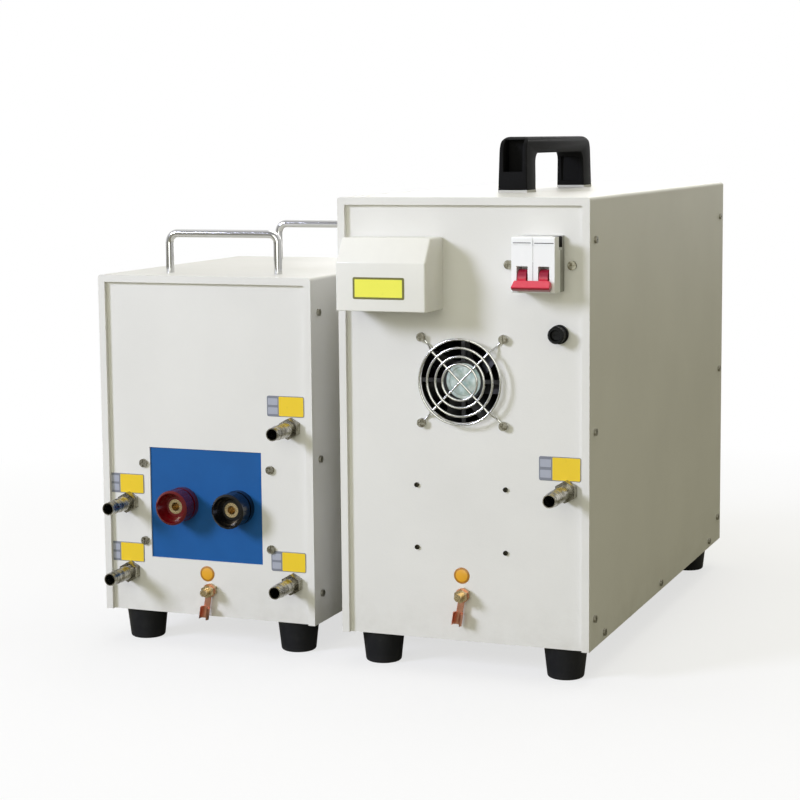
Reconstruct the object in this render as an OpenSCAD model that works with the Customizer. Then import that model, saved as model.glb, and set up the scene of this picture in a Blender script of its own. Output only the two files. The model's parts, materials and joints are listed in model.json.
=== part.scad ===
// Induction heating machine: a power unit and a separate heating head, each a painted sheet cabinet
// on rubber feet. All sizes are in millimetres. X runs to the right along the connection side,
// Y runs away from it towards the control side, and Z is up from the floor.

/* [Power unit] */
// Width of the power unit's sheet body
main_w = 218; // [214:1:236]
// Depth of the power unit, connection side to control side
main_d = 496; // [484:1:540]
// Height of the power unit's sheet body, without feet and handle
main_h = 370; // [366:1:396]

/* [Heating head] */
// Width of the heating head
head_w = 205; // [203:1:225]
// Depth of the heating head
head_d = 280; // [274:1:320]
// Height of the heating head's sheet body
head_h = 301; // [297:1:330]
// Clear space between the two cabinets
cabinet_gap = 29.5; // [15:0.5:60]
// How far the head's face stands back from the power unit's
head_setback = 8.7; // [0:0.1:30]

/* [Sheet metal] */
// Thickness of the cabinet sheet
sheet_t = 1.2; // [1:0.1:1.4]
// Outer radius of the cover's bends
bend_r = 2.6; // [2:0.1:4]
// Width of the rolled lip round each end of a cover
lip_w = 6.3; // [5:0.1:7.5]
// How far an end panel lies behind the lip
recess = 4; // [3:0.5:5]

/* [Rubber feet] */
// Height of a foot
foot_h = 28.5; // [20:0.5:40]
// Diameter of a foot against the cabinet
foot_top_d = 37; // [34:0.5:40]
// Diameter of a foot on the floor
foot_low_d = 30.5; // [27:0.5:33]
// Distance from the cabinet's side to a foot's centre
foot_in_x = 27.4; // [24:0.1:34]
// Distance from the cabinet's end to a foot's centre
foot_in_y = 26.4; // [24:0.1:34]

/* [Carry handle] */
// Length of the arch handle
carry_len = 205; // [190:1:230]
// Width of the arch handle
carry_w = 26.6; // [25:0.1:32]
// Height of the arch handle
carry_h = 46.5; // [44:0.5:56]
// Length of one leg of the arch handle
carry_leg = 26.5; // [24:0.5:30]
// Height of the grip bar of the arch handle
grip_t = 14.5; // [13:0.5:18]
// Distance of the arch handle from the connection side
carry_y = 136; // [110:1:180]
// Thickness of the pads under the arch handle's legs
carry_pad_t = 2; // [1:0.5:4]

/* [Cooling fan] */
// Edge of the square fan frame
fan_size = 80; // [78:1:92]
// Distance between the fan's screws
fan_pitch = 71.5; // [70:0.5:72.5]
// Depth of the fan frame
fan_depth = 25; // [24:0.5:32]
// Height of the fan's centre
fan_z = 219; // [206:1:228]
// Number of fan blades
fan_blades = 7; // [5:1:9]
// Diameter of the guard's wire
guard_wire = 1.9; // [1.6:0.1:2.2]
// How far the guard stands out from the panel
guard_bulge = 6; // [3:0.5:8]
// How far the panel's hole is cut to the left of the fan
fan_hole_shift = 2; // [0:0.5:2.5]

/* [Circuit breaker] */
// Width of one breaker pole
pole_w = 17.95; // [17.5:0.05:18.2]
// Height of the breaker's nose
nose_h = 44.5; // [44:0.1:46]
// Reach of the breaker's nose from the panel
nose_reach = 26; // [23:0.5:27]
// Distance of the breaker's centre from the right side
breaker_in = 40.5; // [38:0.5:46]
// Height of the breaker's centre
breaker_z = 317.2; // [308:0.2:322]

/* [Terminal cover] */
// Width of the terminal cover
tcover_w = 78.5; // [72:0.5:82]
// Height of the terminal cover
tcover_h = 59.2; // [54:0.2:64]
// Reach of the terminal cover from the panel
tcover_reach = 41; // [36:0.5:43]
// Distance of the terminal cover from the left side
tcover_in = 13.5; // [12:0.5:18]
// Height of the terminal cover's lower edge
tcover_z = 278.5; // [270:0.5:290]

/* [Water and earth] */
// Reach of a power unit hose barb from its panel
main_barb_reach = 51; // [44:0.5:56]
// Reach of a heating head hose barb from its panel
head_barb_reach = 40; // [34:0.5:44]
// Crest diameter of a hose barb
barb_d = 12.6; // [11.6:0.1:13]
// Bore of a hose barb
barb_bore = 9.4; // [6:0.1:9.6]
// Diameter of an earth stud
earth_d = 6; // [5:0.5:6]

/* [Binding posts] */
// Outer diameter of a binding post
post_d = 30.5; // [29:0.5:34]
// Distance between the two binding posts
post_pitch = 54.5; // [50:0.5:58]
// Diameter of the brass stud
post_stud_d = 13; // [12:0.1:14]
// Bore of the brass stud, for a plug
post_bore = 7.5; // [6:0.1:8.5]
// Reach of a post's cap from the insulating board
post_reach = 23.5; // [22:0.5:27]

/* [Lifting handles] */
// Diameter of a lifting handle's rod
rod_d = 7.2; // [6:0.1:8]
// Distance between the two legs of a lifting handle
rod_pitch = 106; // [96:1:112]
// Height of a lifting handle above the cabinet, to the rod's centre
rod_rise = 35; // [30:0.5:45]
// Distance of the front lifting handle from the head's connection side
rod_in_y = 43; // [36:1:50]
// Distance of the rear lifting handle from the head's output side
rear_rod_in_y = 37; // [30:1:50]
// How far the rear lifting handle sits to the right of the middle
rear_rod_shift = 15; // [0:0.5:16]

/* [Hidden] */

// Smoothness of bores and shafts, of soft bends, and the shared overrun and clearances
$fn = 48;
arc_steps = 7;
overrun = 1;
snug = 0.05;
slack = 0.2;

// Places of the two cabinets
main_x0 = (head_w + cabinet_gap - main_w) / 2;
main_y0 = -main_d / 2;
head_x0 = main_x0 - cabinet_gap - head_w;
head_y0 = main_y0 + head_setback;

// Cabinet construction
panel_back = recess + sheet_t;
side_flange = 22;
top_flange = 12;
floor_flange = 46;
tray_rise = 14;
floor_z = 2 * sheet_t;
screw_hole_d = 3.4;
cover_screw_in = 15.5;
low_screw_z = 7;
main_screw_low = 25;
main_screw_mid_drop = 5;
main_screw_top_drop = 34;
main_screw_zs = [main_screw_low, main_h / 2 - main_screw_mid_drop, main_h - main_screw_top_drop];
main_low_forward = 8;
main_low_ys = [main_d / 2 - main_low_forward];
main_corner_front = 45;
main_corner_rear = 54;
main_corner_ys = [main_corner_front, main_d - main_corner_rear];
head_screw_low = 26;
head_screw_mid = 144;
head_screw_top_drop = 30;
head_screw_zs = [head_screw_low, head_screw_mid, head_h - head_screw_top_drop];
head_low_ys = [head_d / 2];

// Screws
m3_d = 3;
m3_head_d = 6;
m3_head_t = 2;
m4_d = 4;
m4_head_d = 7.4;
m4_head_t = 2.4;
m4_hole_d = 4.4;
slot_w = 1;
slot_deep = 0.9;
screw_len = 10;

// Carry handle shape
carry_draft = 2;
carry_corner_r = 14;
carry_gap_r = 9;
carry_edge_r = 6;
carry_wall = 4.6;
carry_roof = 2.7;
carry_pocket = 17;
carry_boss_h = 16;
carry_panel_deep = 1.5;
carry_screw_deep = 11;
carry_screw_d = 5;
carry_screw_head_d = 9;
carry_x = (main_w - carry_w) / 2;
carry_screw_ys = [carry_y + carry_leg / 2, carry_y + carry_len - carry_leg / 2];

// Foot shape
foot_edge_r = 2.5;
foot_sink_d = 13;
foot_sink = 12;
foot_screw_d = 5;
foot_head_d = 9.5;
foot_head_t = 3.6;
foot_nut_af = 8;
foot_nut_t = 4;

// Fan shape
fan_hole_d = 70;
fan_corner_r = 4;
fan_bore_d = 76;
fan_plate_t = 4;
fan_wall = 1.8;
fan_hub_d = 34;
fan_cup_t = 2.2;
fan_strut_w = 3.4;
fan_struts = 4;
fan_shaft_d = 3;
fan_bush_d = 8;
fan_coil_d = 25;
fan_coil_len = 8;
fan_gap = 1.5;
fan_tip_gap = 1.2;
blade_t = 1.4;
blade_r = 30;
blade_pitch = 42;
blade_share = 0.96;
blade_steps = 6;
fan_shell_t = 1.4;
guard_ring_shares = [1, 0.8, 0.6, 0.425];
guard_r = 35.4;
guard_foot_r = 43;
guard_weld_share = 0.8;

// Breaker shape
poles = 2;
breaker_w = poles * pole_w;
breaker_x = main_w - breaker_in;
breaker_front = recess - nose_reach;
breaker_shoulder_in = 4;
breaker_shoulder = panel_back + breaker_shoulder_in;
breaker_body_h = 78;
breaker_deep = 46;
breaker_edge = 1.5;
breaker_groove_deep = 0.8;
breaker_groove_w = 0.6;
breaker_rule_drop = 6;
breaker_pocket_w = 6;
breaker_pocket_h = 11;
breaker_pocket_y = -10;
breaker_pocket_len = 9;
toggle_drop = 11;
toggle_in = 6;
toggle_rest = 25;
toggle_arm_w = 7.2;
toggle_arm_t = 5.2;
toggle_arm_len = 9;
toggle_hub_d = 15;
toggle_wedge = [[-8.45, 2.8], [-15.4, 0.3], [-14.8, -2], [-11.6, -5.9], [-8.45, -2.8]];
toggle_wedge_rs = [0.3, 0.6, 1, 1.2, 0.3];
toggle_face = [[-14.4, 3.2], [-16, 0], [-15.6, -6.2], [15.6, -6.2], [16, 0], [14.4, 3.2]];
toggle_face_rs = [0, 1.5, 3, 3, 1.5, 0];
toggle_pin_d = 3;
toggle_pin_over = 1.6;
toggle_slot_w = 9.3;
toggle_slot_h = 20;
toggle_slot_deep = 14.5;
toggle_y = breaker_front + toggle_in;
toggle_z = breaker_z - toggle_drop;
bracket_gap = 3.2;
bracket_foot = 9;
rail_h = 35;
bracket_h = 26;
bracket_screw_clear = 4.4;
bracket_screw_off = breaker_w / 2 + bracket_gap + sheet_t + bracket_screw_clear;
bracket_left = 1.8;
bracket_down = 1.5;
bracket_x = breaker_x - bracket_left;
bracket_z = breaker_z - bracket_down;

// Fuse holder shape
fuse_in = 26.2;
fuse_z = 260;
fuse_x = main_w - fuse_in;
fuse_flange_d = 15.6;
fuse_flange_t = 2.5;
fuse_barrel_d = 12;
fuse_bore_d = 9.2;
fuse_barrel_len = 38;
fuse_nut_d = 17;
fuse_nut_t = 3;
fuse_tag_w = 5;
fuse_tag_len = 8;
fuse_tag_t = 0.8;
fuse_cap_d = 13.8;
fuse_cap_len = 9;
fuse_cap_sink = 3;
fuse_cap_edge = 0.8;
fuse_cap_rim = 2.2;
fuse_cap_dish = 2.4;
fuse_grips = 16;
fuse_grip_d = 1.6;
fuse_grip_deep = 0.35;
fuse_slot_w = 1.6;
fuse_carrier_d = 8.8;
fuse_carrier_wall = 0.9;
fuse_carrier_len = 24;
fuse_link_d = 6.3;
fuse_link_len = 30;
fuse_end_len = 6;
fuse_end_over = 0.25;

// Terminal cover shape
tcover_wall = 2;
tcover_slope_h = 19.5;
tcover_slope_in = 13.4;
tcover_r = 2;
tblock_w = 62;
tblock_h = 26;
tblock_deep = 20;
tblock_drop = 14;
tblock_ways = 3;
tblock_rib = 2;
tblock_step = 8;
tblock_screw_d = 6;
tblock_screw_t = 3;
wire_window_h = 10;
wire_window_w = 50;

// Water fittings and earth stud
hex_af = 16;
hex_t = 8;
fitting_thread_d = 13;
fitting_inside = 18;
fitting_nut_t = 5;
stem_d = 11;
barb_rings = 3;
barb_pitch = 8;
barb_crest = 1.2;
barb_nose = 3;
main_barb_in = 19.5;
main_barb_x = main_w - main_barb_in;
main_barb_z = 132.5;
head_barb_right_in = 21.3;
head_barb_left_in = 24.5;
head_barb_top_z = 171.5;
head_barb_left_z = 98.4;
head_barb_low_z = 35.4;
earth_main_x = main_w / 2;
earth_main_z = 40;
earth_head_right = 1.4;
earth_head_x = head_w / 2 + earth_head_right;
earth_head_z = 24;
earth_out = 17;
earth_in = 9;
earth_nut_af = 10;
earth_nut_t = 5;
earth_seat_t = 4.5;
lug_t = 1.2;
lug_eye_d = 12;
lug_neck_w = 5.5;
lug_len = 15.5;
lug_back = recess - earth_seat_t;
lug_barrel_d = 8.8;
lug_barrel_len = 9.5;
lug_open_w = 6.4;
lug_tilt = 9;

// Mains filter and its screws
filter_pitch_x = 78;
filter_pitch_z = 53;
filter_x = 106.7;
filter_z = 103.9;
filter_w = 100;
filter_h = 74;
filter_deep = 42;
filter_r = 3;
filter_stud_d = 5;
filter_stud_len = 9;
filter_head_d = 4;
filter_head_t = 1.6;

// Power electronics
plate_rise = 40;
plate_t = 18;
plate_w = 158;
plate_len = 180;
plate_leg_d = 14;
plate_leg_in = 14;
plate_port_d = 10;
plate_port_len = 10;
module_w = 62;
module_len = 106;
module_h = 30;
module_base_t = 4;
module_in = 8;
module_tab_d = 12;
module_tab_t = 5;
module_tabs = 3;
cap_d = 76;
cap_len = 105;
cap_in = 108;
cap_y = main_d - cap_in;
plate_in = 238;
plate_y = cap_y - plate_in;
cap_ring_t = 12;
cap_ring_wall = 3;
cap_post_d = 12;
cap_post_len = 6;
cap_off = 48;
board_w = 150;
board_h = 110;
board_t = 1.6;
board_off = 26;
board_z = 150;
board_post_d = 7;
board_post_in = 6;
board_chip = 16;
board_chip_t = 5;

// Control side
display_w = 100;
display_h = 46;
display_z = 300;
display_rim = 8;
display_proud = 4;
display_r = 4;
window_back = 1.6;
knob_d = 32;
knob_h = 15;
knob_skirt_d = 38;
knob_skirt_t = 2;
knob_shaft_d = 6;
knob_shaft_len = 14;
knob_grips = 12;
knob_grip_d = 4;
knob_mark_w = 1.6;
knob_gap = 1;
knob_z = 215;
pot_d = 24;
pot_deep = 15;
pot_bush_d = 9;
button_off = 48;
button_z = 150;
button_d = 18;
button_rim_d = 28;
button_rim_t = 3;
button_barrel_d = 22;
button_barrel_len = 26;
button_cap_out = 8;
button_stem_d = 8;
button_floor = 10;
rocker_w = 28;
rocker_h = 20;
rocker_rim = 2.5;
rocker_rim_t = 2;
rocker_deep = 18;
rocker_swing_r = 26;
rocker_pin_d = 2.4;
rocker_out = 4.5;
rocker_gap = 1.3;
rocker_tilt = 9;
pedal_off = 60;
pedal_z = 88;
pedal_flange = 22;
pedal_flange_t = 2.5;
pedal_thread_d = 15;
pedal_out = 11;
pedal_bore_d = 12;
pedal_bore_deep = 9;
pedal_in = 14;
pedal_pin_d = 1.8;
pedal_pins = 4;
pedal_pin_ring = 3;
pedal_pin_len = 2;
output_pitch = 60;
output_z = 62;
output_d = 10;
output_out = 26;
output_in = 24;
output_bush_d = 26;
output_bush_t = 7;
output_nut_af = 17;
output_nut_t = 8;

// Heating head pieces
window_w = 109;
window_h = 99;
window_x = 99.8;
window_z = 99;
iboard_t = 3;
iboard_w = 134;
iboard_h = 112;
iboard_x = 101.2;
iboard_screw_x = 123.7;
iboard_screw_z = 69.9;
post_right = 4.3;
post_x = window_x + post_right;
post_base_t = 6.5;
post_rim = 2;
post_dish = 9;
post_washer_d = 24;
post_washer_t = 1.5;
post_flutes = 16;
post_flute_d = 3.2;
post_flute_deep = 0.45;
post_edge = 1.2;
post_bush_t = 5;
post_tail = 26;
post_nut_af = 22;
post_nut_t = 7;
post_bore_deep = 20;
rod_bend_r = 8;
rod_tail = 9;
rod_nut_af = 12;
rod_nut_t = 5;
coil_block_w = 28;
coil_block_h = 60;
coil_block_out = 22;
coil_block_in = 58;
coil_block_pitch = 44;
coil_block_z = 150;
coil_hole_d = 8.4;
coil_hole_pitch = 36;
coil_plate_t = 6;
coil_plate_edge = 12;
core_w = 93;
core_h = 96;
core_leg = 28;
core_deep = 60;
core_y = 120;
core_stand = 55;
core_foot_w = 40;
turns = 4;
turn_tube_d = 8;
turn_gap = 0.3;
rescap_w = 46;
rescap_h = 90;
rescap_deep = 60;
rescap_off = 52;
rescap_y = 42;
rescap_stud_d = 8;
rescap_stud_len = 8;
rescap_r = 4;

function unit(v) = v / norm(v);

// One rounded corner of an outline, p between its neighbours a and b
function corner_arc(a, p, b, r) =
    let (u = unit(a - p), v = unit(b - p), half = acos(u * v) / 2,
         start = p + u * r / tan(half), finish = p + v * r / tan(half),
         c = p + unit(u + v) * r / sin(half),
         a0 = atan2(start[1] - c[1], start[0] - c[0]),
         turn = atan2(finish[1] - c[1], finish[0] - c[0]) - a0,
         sweep = turn > 180 ? turn - 360 : turn < -180 ? turn + 360 : turn)
    r == 0 ? [p] : [for (i = [0:arc_steps]) let (t = a0 + sweep * i / arc_steps)
        c + r * [cos(t), sin(t)]];

// An outline with each corner rounded by its own radius
function rounded(pts, rs) = let (n = len(pts))
    [for (i = [0:n - 1]) each corner_arc(pts[(i + n - 1) % n], pts[i], pts[(i + 1) % n], rs[i])];

function box_pts(x0, z0, x1, z1) = [[x0, z0], [x1, z0], [x1, z1], [x0, z1]];

// Frames of the two cabinets, with zero at the lower left corner of the connection side
module on_main() { translate([main_x0, main_y0, foot_h]) children(); }
module on_head() { translate([head_x0, head_y0, foot_h]) children(); }

// Looks at a cabinet of the given depth from its far side
module far_side(d) { translate([0, d, 0]) mirror([0, 1, 0]) children(); }

// A flat outline in X and Z drawn out along Y, and one in Y and Z drawn out along X
module along_y(y0, deep) { translate([0, y0 + deep, 0]) rotate([90, 0,
    0]) linear_extrude(deep) children(); }
module along_x(x0, wide) { translate([x0, 0, 0]) rotate([90, 0, 90]) linear_extrude(wide) children(); }

module rod_y(x, z, y0, y1, d) { translate([x, y0, z]) rotate([-90, 0, 0]) cylinder(d = d, h = y1 - y0); }
module rod_x(x0, x1, y, z, d) { translate([x0, y, z]) rotate([0, 90, 0]) cylinder(d = d, h = x1 - x0); }
module rod_z(x, y, z0, z1, d) { translate([x, y, z0]) cylinder(d = d, h = z1 - z0); }
module block(x0, x1, y0, y1, z0, z1) { translate([x0, y0, z0]) cube([x1 - x0, y1 - y0, z1 - z0]); }
module hex_y(x, z, y0, y1, af) {
    translate([x, y0, z]) rotate([-90, 30, 0]) cylinder(d = af / cos(30), h = y1 - y0, $fn = 6);
}
module hex_z(x, y, z0, z1, af) { translate([x, y, z0]) cylinder(d = af / cos(30), h = z1 - z0, $fn = 6); }

// A pan head screw whose head seats at y and points to the viewer of the connection side
module pan_screw_y(x, z, y, d, head_d, head_t, deep) {
    difference() {
        union() {
            rod_y(x, z, y - head_t, y, head_d);
            rod_y(x, z, y - overrun / 2, y + deep, d);
        }
        block(x - head_d / 3, x + head_d / 3, y - head_t - overrun, y - head_t + slot_deep,
            z - slot_w / 2, z + slot_w / 2);
        block(x - slot_w / 2, x + slot_w / 2, y - head_t - overrun, y - head_t + slot_deep,
            z - head_d / 3, z + head_d / 3);
    }
}

// Rectangle of four places
module four(px, pz) { for (sx = [-1, 1], sz = [-1, 1]) translate([sx * px / 2, 0,
    sz * pz / 2]) children(); }

// Sheet cabinets
module cover_outline(w, h, inset, low) {
    r = max(bend_r - inset, sheet_t / 4);
    polygon(rounded([[inset, low], [inset, h - inset], [w - inset, h - inset], [w - inset, low]],
        [0, r, r, 0]));
}

module lip_ring(w, h, outer, inner) {
    difference() {
        cover_outline(w, h, outer, 0);
        cover_outline(w, h, inner, -overrun);
    }
}

module cover_shell(w, d, h, screw_zs, low_ys) {
    difference() {
        union() {
            along_y(0, d) lip_ring(w, h, 0, sheet_t);
            for (y0 = [0, d - sheet_t]) along_y(y0, sheet_t) lip_ring(w, h, 0, lip_w);
            for (y0 = [0, d - recess]) along_y(y0, recess) lip_ring(w, h, lip_w - sheet_t, lip_w);
        }
        cover_screw_bores(w, d, screw_zs, low_ys);
    }
}

module cover_screw_bores(w, d, screw_zs, low_ys) {
    for (y = [cover_screw_in, d - cover_screw_in], z = screw_zs)
        rod_x(-overrun, w + overrun, y, z, screw_hole_d);
    for (y = low_ys) rod_x(-overrun, w + overrun, y, low_screw_z, screw_hole_d);
}

module end_panel(w, h) {
    along_y(recess, sheet_t) cover_outline(w, h, sheet_t, 0);
    for (x = [sheet_t, w - 2 * sheet_t])
        block(x, x + sheet_t, recess, recess + side_flange, floor_z + sheet_t, h - bend_r - sheet_t);
    block(bend_r + sheet_t, w - bend_r - sheet_t, recess, recess + top_flange, h - 2 * sheet_t,
        h - sheet_t);
    block(sheet_t, w - sheet_t, recess, recess + floor_flange, 0, sheet_t);
}

module foot_bores(w, d) {
    for (x = [foot_in_x, w - foot_in_x], y = [foot_in_y, d - foot_in_y])
        rod_z(x, y, -overrun, floor_z + overrun, foot_screw_d + slack * 2);
}

module base_tray(w, d, low_ys) {
    difference() {
        union() {
            block(sheet_t, w - sheet_t, panel_back, d - panel_back, sheet_t, floor_z);
            for (x = [sheet_t, w - 2 * sheet_t])
                block(x, x + sheet_t, recess + side_flange + sheet_t, d - recess - side_flange - sheet_t,
                    sheet_t, tray_rise);
        }
        for (y = low_ys) rod_x(-overrun, w + overrun, y, low_screw_z, screw_hole_d);
        foot_bores(w, d);
    }
}

module foot() {
    top = foot_top_d / 2;
    low = foot_low_d / 2;
    bore = foot_screw_d / 2 + slack;
    sink = foot_sink_d / 2;
    translate([0, 0, -foot_h]) rotate_extrude()
        polygon(rounded([[sink, 0], [low, 0], [top, foot_h], [bore, foot_h], [bore, foot_sink],
            [sink, foot_sink]],
            [0, foot_edge_r, 0, 0, 0, 0]));
}

module feet(w, d) {
    for (x = [foot_in_x, w - foot_in_x], y = [foot_in_y, d - foot_in_y]) translate([x, y, 0]) foot();
}

// Power unit, cabinet
main_low_all = concat(main_low_ys, main_corner_ys);

module main_cover() {
    color("ivory") on_main() difference() {
        cover_shell(main_w, main_d, main_h, main_screw_zs, main_low_all);
        for (y = carry_screw_ys)
            rod_z(main_w / 2, y, main_h - sheet_t - overrun, main_h + overrun, carry_screw_d + slack * 2);
    }
}

module main_base_tray() { color("ivory") on_main() base_tray(main_w, main_d, main_low_all); }

module main_connection_panel() {
    color("ivory") on_main() difference() {
        end_panel(main_w, main_h);
        cover_screw_bores(main_w, main_d, main_screw_zs, []);
        foot_bores(main_w, main_d);
        through_panel() {
            translate([main_w / 2 - fan_hole_shift, fan_z]) circle(d = fan_hole_d);
            translate([main_w / 2, fan_z]) four_flat(fan_pitch, fan_pitch) circle(d = m4_hole_d);
            translate([filter_x, filter_z]) four_flat(filter_pitch_x, filter_pitch_z)
                circle(d = m3_d + 2 * snug);
            translate([breaker_x, breaker_z])
                square([breaker_w + slack * 2, nose_h + slack * 2], center = true);
            for (s = [-1, 1]) translate([bracket_x + s * bracket_screw_off, bracket_z])
                circle(d = m4_hole_d);
            translate([fuse_x, fuse_z]) circle(d = fuse_barrel_d + slack);
            translate([main_barb_x, main_barb_z]) circle(d = fitting_thread_d + slack);
            translate([earth_main_x, earth_main_z]) circle(d = earth_d + slack);
            translate([tcover_in + tcover_w / 2, tcover_z + tcover_wall + wire_window_h / 2])
                square([wire_window_w, wire_window_h], center = true);
        }
    }
}

// A cut straight through a connection side panel, from its flat outlines in X and Z
module through_panel() { along_y(recess - overrun, sheet_t + 2 * overrun) children(); }
module four_flat(px, pz) {
    for (sx = [-1, 1], sz = [-1, 1]) translate([sx * px / 2, sz * pz / 2]) children();
}

module main_control_panel() {
    color("ivory") on_main() far_side(main_d) difference() {
        end_panel(main_w, main_h);
        cover_screw_bores(main_w, main_d, main_screw_zs, []);
        foot_bores(main_w, main_d);
        through_panel() {
            translate([main_w / 2, display_z])
                square([display_w - 2 * display_rim, display_h - 2 * display_rim], center = true);
            translate([main_w / 2, knob_z]) circle(d = pot_bush_d + slack);
            for (s = [-1, 1]) translate([main_w / 2 + s * button_off, button_z])
                circle(d = button_barrel_d + slack);
            translate([main_w / 2, button_z]) square([rocker_w + slack, rocker_h + slack], center = true);
            translate([main_w / 2 - pedal_off, pedal_z]) circle(d = pedal_thread_d + slack);
            for (s = [-1, 1]) translate([main_w / 2 + s * output_pitch / 2, output_z])
                circle(d = output_d + slack);
            translate([main_barb_x, main_barb_z]) circle(d = fitting_thread_d + slack);
        }
    }
}

module rubber_feet() {
    color("black") {
        on_main() feet(main_w, main_d);
        on_head() feet(head_w, head_d);
    }
}

module foot_screws() {
    color("silver") {
        on_main() cabinet_foot_screws(main_w, main_d);
        on_head() cabinet_foot_screws(head_w, head_d);
    }
}

module cabinet_foot_screws(w, d) {
    for (x = [foot_in_x, w - foot_in_x], y = [foot_in_y, d - foot_in_y]) {
        rod_z(x, y, foot_sink - foot_h - foot_head_t, foot_sink - foot_h, foot_head_d);
        rod_z(x, y, foot_sink - foot_h - foot_head_t / 2, floor_z + foot_nut_t + overrun, foot_screw_d);
        hex_z(x, y, floor_z, floor_z + foot_nut_t, foot_nut_af);
    }
}

module cover_screws() {
    color("dimgray") {
        on_main() side_screws(main_w, main_d, main_screw_zs, main_low_all);
        on_head() side_screws(head_w, head_d, head_screw_zs, head_low_ys);
    }
}

// Pan heads on both sides of a cover, turned so that each head seats on the sheet
module side_screws(w, d, screw_zs, low_ys) {
    places = concat([for (y = [cover_screw_in, d - cover_screw_in], z = screw_zs) [y, z]],
        [for (y = low_ys) [y, low_screw_z]]);
    for (p = places) {
        translate([w, p[0], p[1]]) rotate([0, 0, 90]) side_screw();
        translate([0, p[0], p[1]]) rotate([0, 0, -90]) side_screw();
    }
}

module side_screw() { pan_screw_y(0, 0, 0, m3_d, m3_head_d, m3_head_t, screw_len / 2); }

// Arch handle
carry_arch = [[0, 0], [carry_draft, carry_h], [carry_len - carry_draft, carry_h], [carry_len, 0],
    [carry_len - carry_leg, 0], [carry_len - carry_leg - carry_draft / 2, carry_h - grip_t],
    [carry_leg + carry_draft / 2, carry_h - grip_t], [carry_leg, 0]];
carry_arch_rs = [0, carry_corner_r, carry_corner_r, 0, 0, carry_gap_r, carry_gap_r, 0];

module carry_handle() {
    color("#1d1d1d") on_main() translate([carry_x, carry_y, main_h + carry_pad_t]) difference() {
        intersection() {
            along_x(0, carry_w) polygon(rounded(carry_arch, carry_arch_rs));
            along_y(0, carry_len)
                polygon(rounded([[0, 0], [carry_draft / 2, carry_h], [carry_w - carry_draft / 2, carry_h],
                    [carry_w, 0]],
                    [0, carry_edge_r, carry_edge_r, 0]));
        }
        carry_end_pocket();
        far_side(carry_len) carry_end_pocket();
        carry_leg_recess();
        far_side(carry_len) carry_leg_recess();
        for (y = [carry_leg / 2, carry_len - carry_leg / 2])
            rod_z(carry_w / 2, y, -overrun, carry_screw_deep, carry_screw_d + 2 * snug);
    }
}

module carry_end_pocket() {
    block(carry_wall, carry_w - carry_wall, -overrun, carry_pocket, carry_boss_h, carry_h - carry_roof);
}

module carry_leg_recess() {
    block(carry_wall, carry_w - carry_wall, carry_leg - carry_panel_deep, carry_leg + carry_draft * 2,
        carry_wall, carry_h - grip_t - carry_gap_r / 2);
}

module carry_handle_pads() {
    color("lightgray") on_main() for (y = [carry_y, carry_y + carry_len - carry_leg]) difference() {
        block(carry_x, carry_x + carry_w, y, y + carry_leg, main_h, main_h + carry_pad_t);
        rod_z(main_w / 2, y + carry_leg / 2, main_h - overrun, main_h + carry_pad_t + overrun,
            carry_screw_d + 2 * snug);
    }
}

module carry_handle_screws() {
    color("silver") on_main() for (y = carry_screw_ys) {
        rod_z(main_w / 2, y, main_h - sheet_t - foot_head_t, main_h - sheet_t, carry_screw_head_d);
        rod_z(main_w / 2, y, main_h - sheet_t - overrun,
            main_h + carry_pad_t + carry_screw_deep - overrun, carry_screw_d);
    }
}

// Mains entry
tcover_front = recess - tcover_reach;
tcover_top = tcover_z + tcover_h;
tcover_side = [[recess, tcover_z], [tcover_front, tcover_z], [tcover_front, tcover_top - tcover_slope_h],
    [tcover_front + tcover_slope_in, tcover_top], [recess, tcover_top]];

module terminal_cover() {
    inner = [for (p = tcover_side) [min(p[0] + tcover_wall, recess + overrun),
        p[1] > tcover_z ? p[1] - tcover_wall : p[1] - overrun]];
    color("#f1efe4") on_main() difference() {
        along_x(tcover_in, tcover_w) polygon(rounded(tcover_side,
            [0, tcover_r / 2, tcover_r, tcover_r, 0]));
        along_x(tcover_in + tcover_wall, tcover_w - 2 * tcover_wall) polygon(inner);
    }
}

tblock_x = tcover_in + (tcover_w - tblock_w) / 2;
tblock_z = tcover_top - tblock_drop - tblock_h;

module terminal_block() {
    way = (tblock_w - tblock_rib) / tblock_ways;
    color("dimgray") on_main() {
        difference() {
            block(tblock_x, tblock_x + tblock_w, recess - tblock_deep, recess, tblock_z,
                tblock_z + tblock_h);
            for (i = [0:tblock_ways - 1])
                block(tblock_x + tblock_rib + i * way, tblock_x + (i + 1) * way,
                    recess - tblock_deep - overrun,
                    recess - tblock_step, tblock_z - overrun, tblock_z + tblock_h - tblock_rib);
        }
        for (i = [0:tblock_ways - 1])
            rod_y(tblock_x + tblock_rib / 2 + (i + 1 / 2) * way, tblock_z + tblock_h / 2,
                recess - tblock_step - tblock_screw_t, recess - tblock_step, tblock_screw_d);
    }
}

// Circuit breaker
breaker_side = [[breaker_front, -nose_h / 2], [breaker_front, nose_h / 2], [breaker_shoulder, nose_h / 2],
    [breaker_shoulder, breaker_body_h / 2], [breaker_deep, breaker_body_h / 2],
    [breaker_deep, -breaker_body_h / 2], [breaker_shoulder, -breaker_body_h / 2],
    [breaker_shoulder, -nose_h / 2]];

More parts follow.
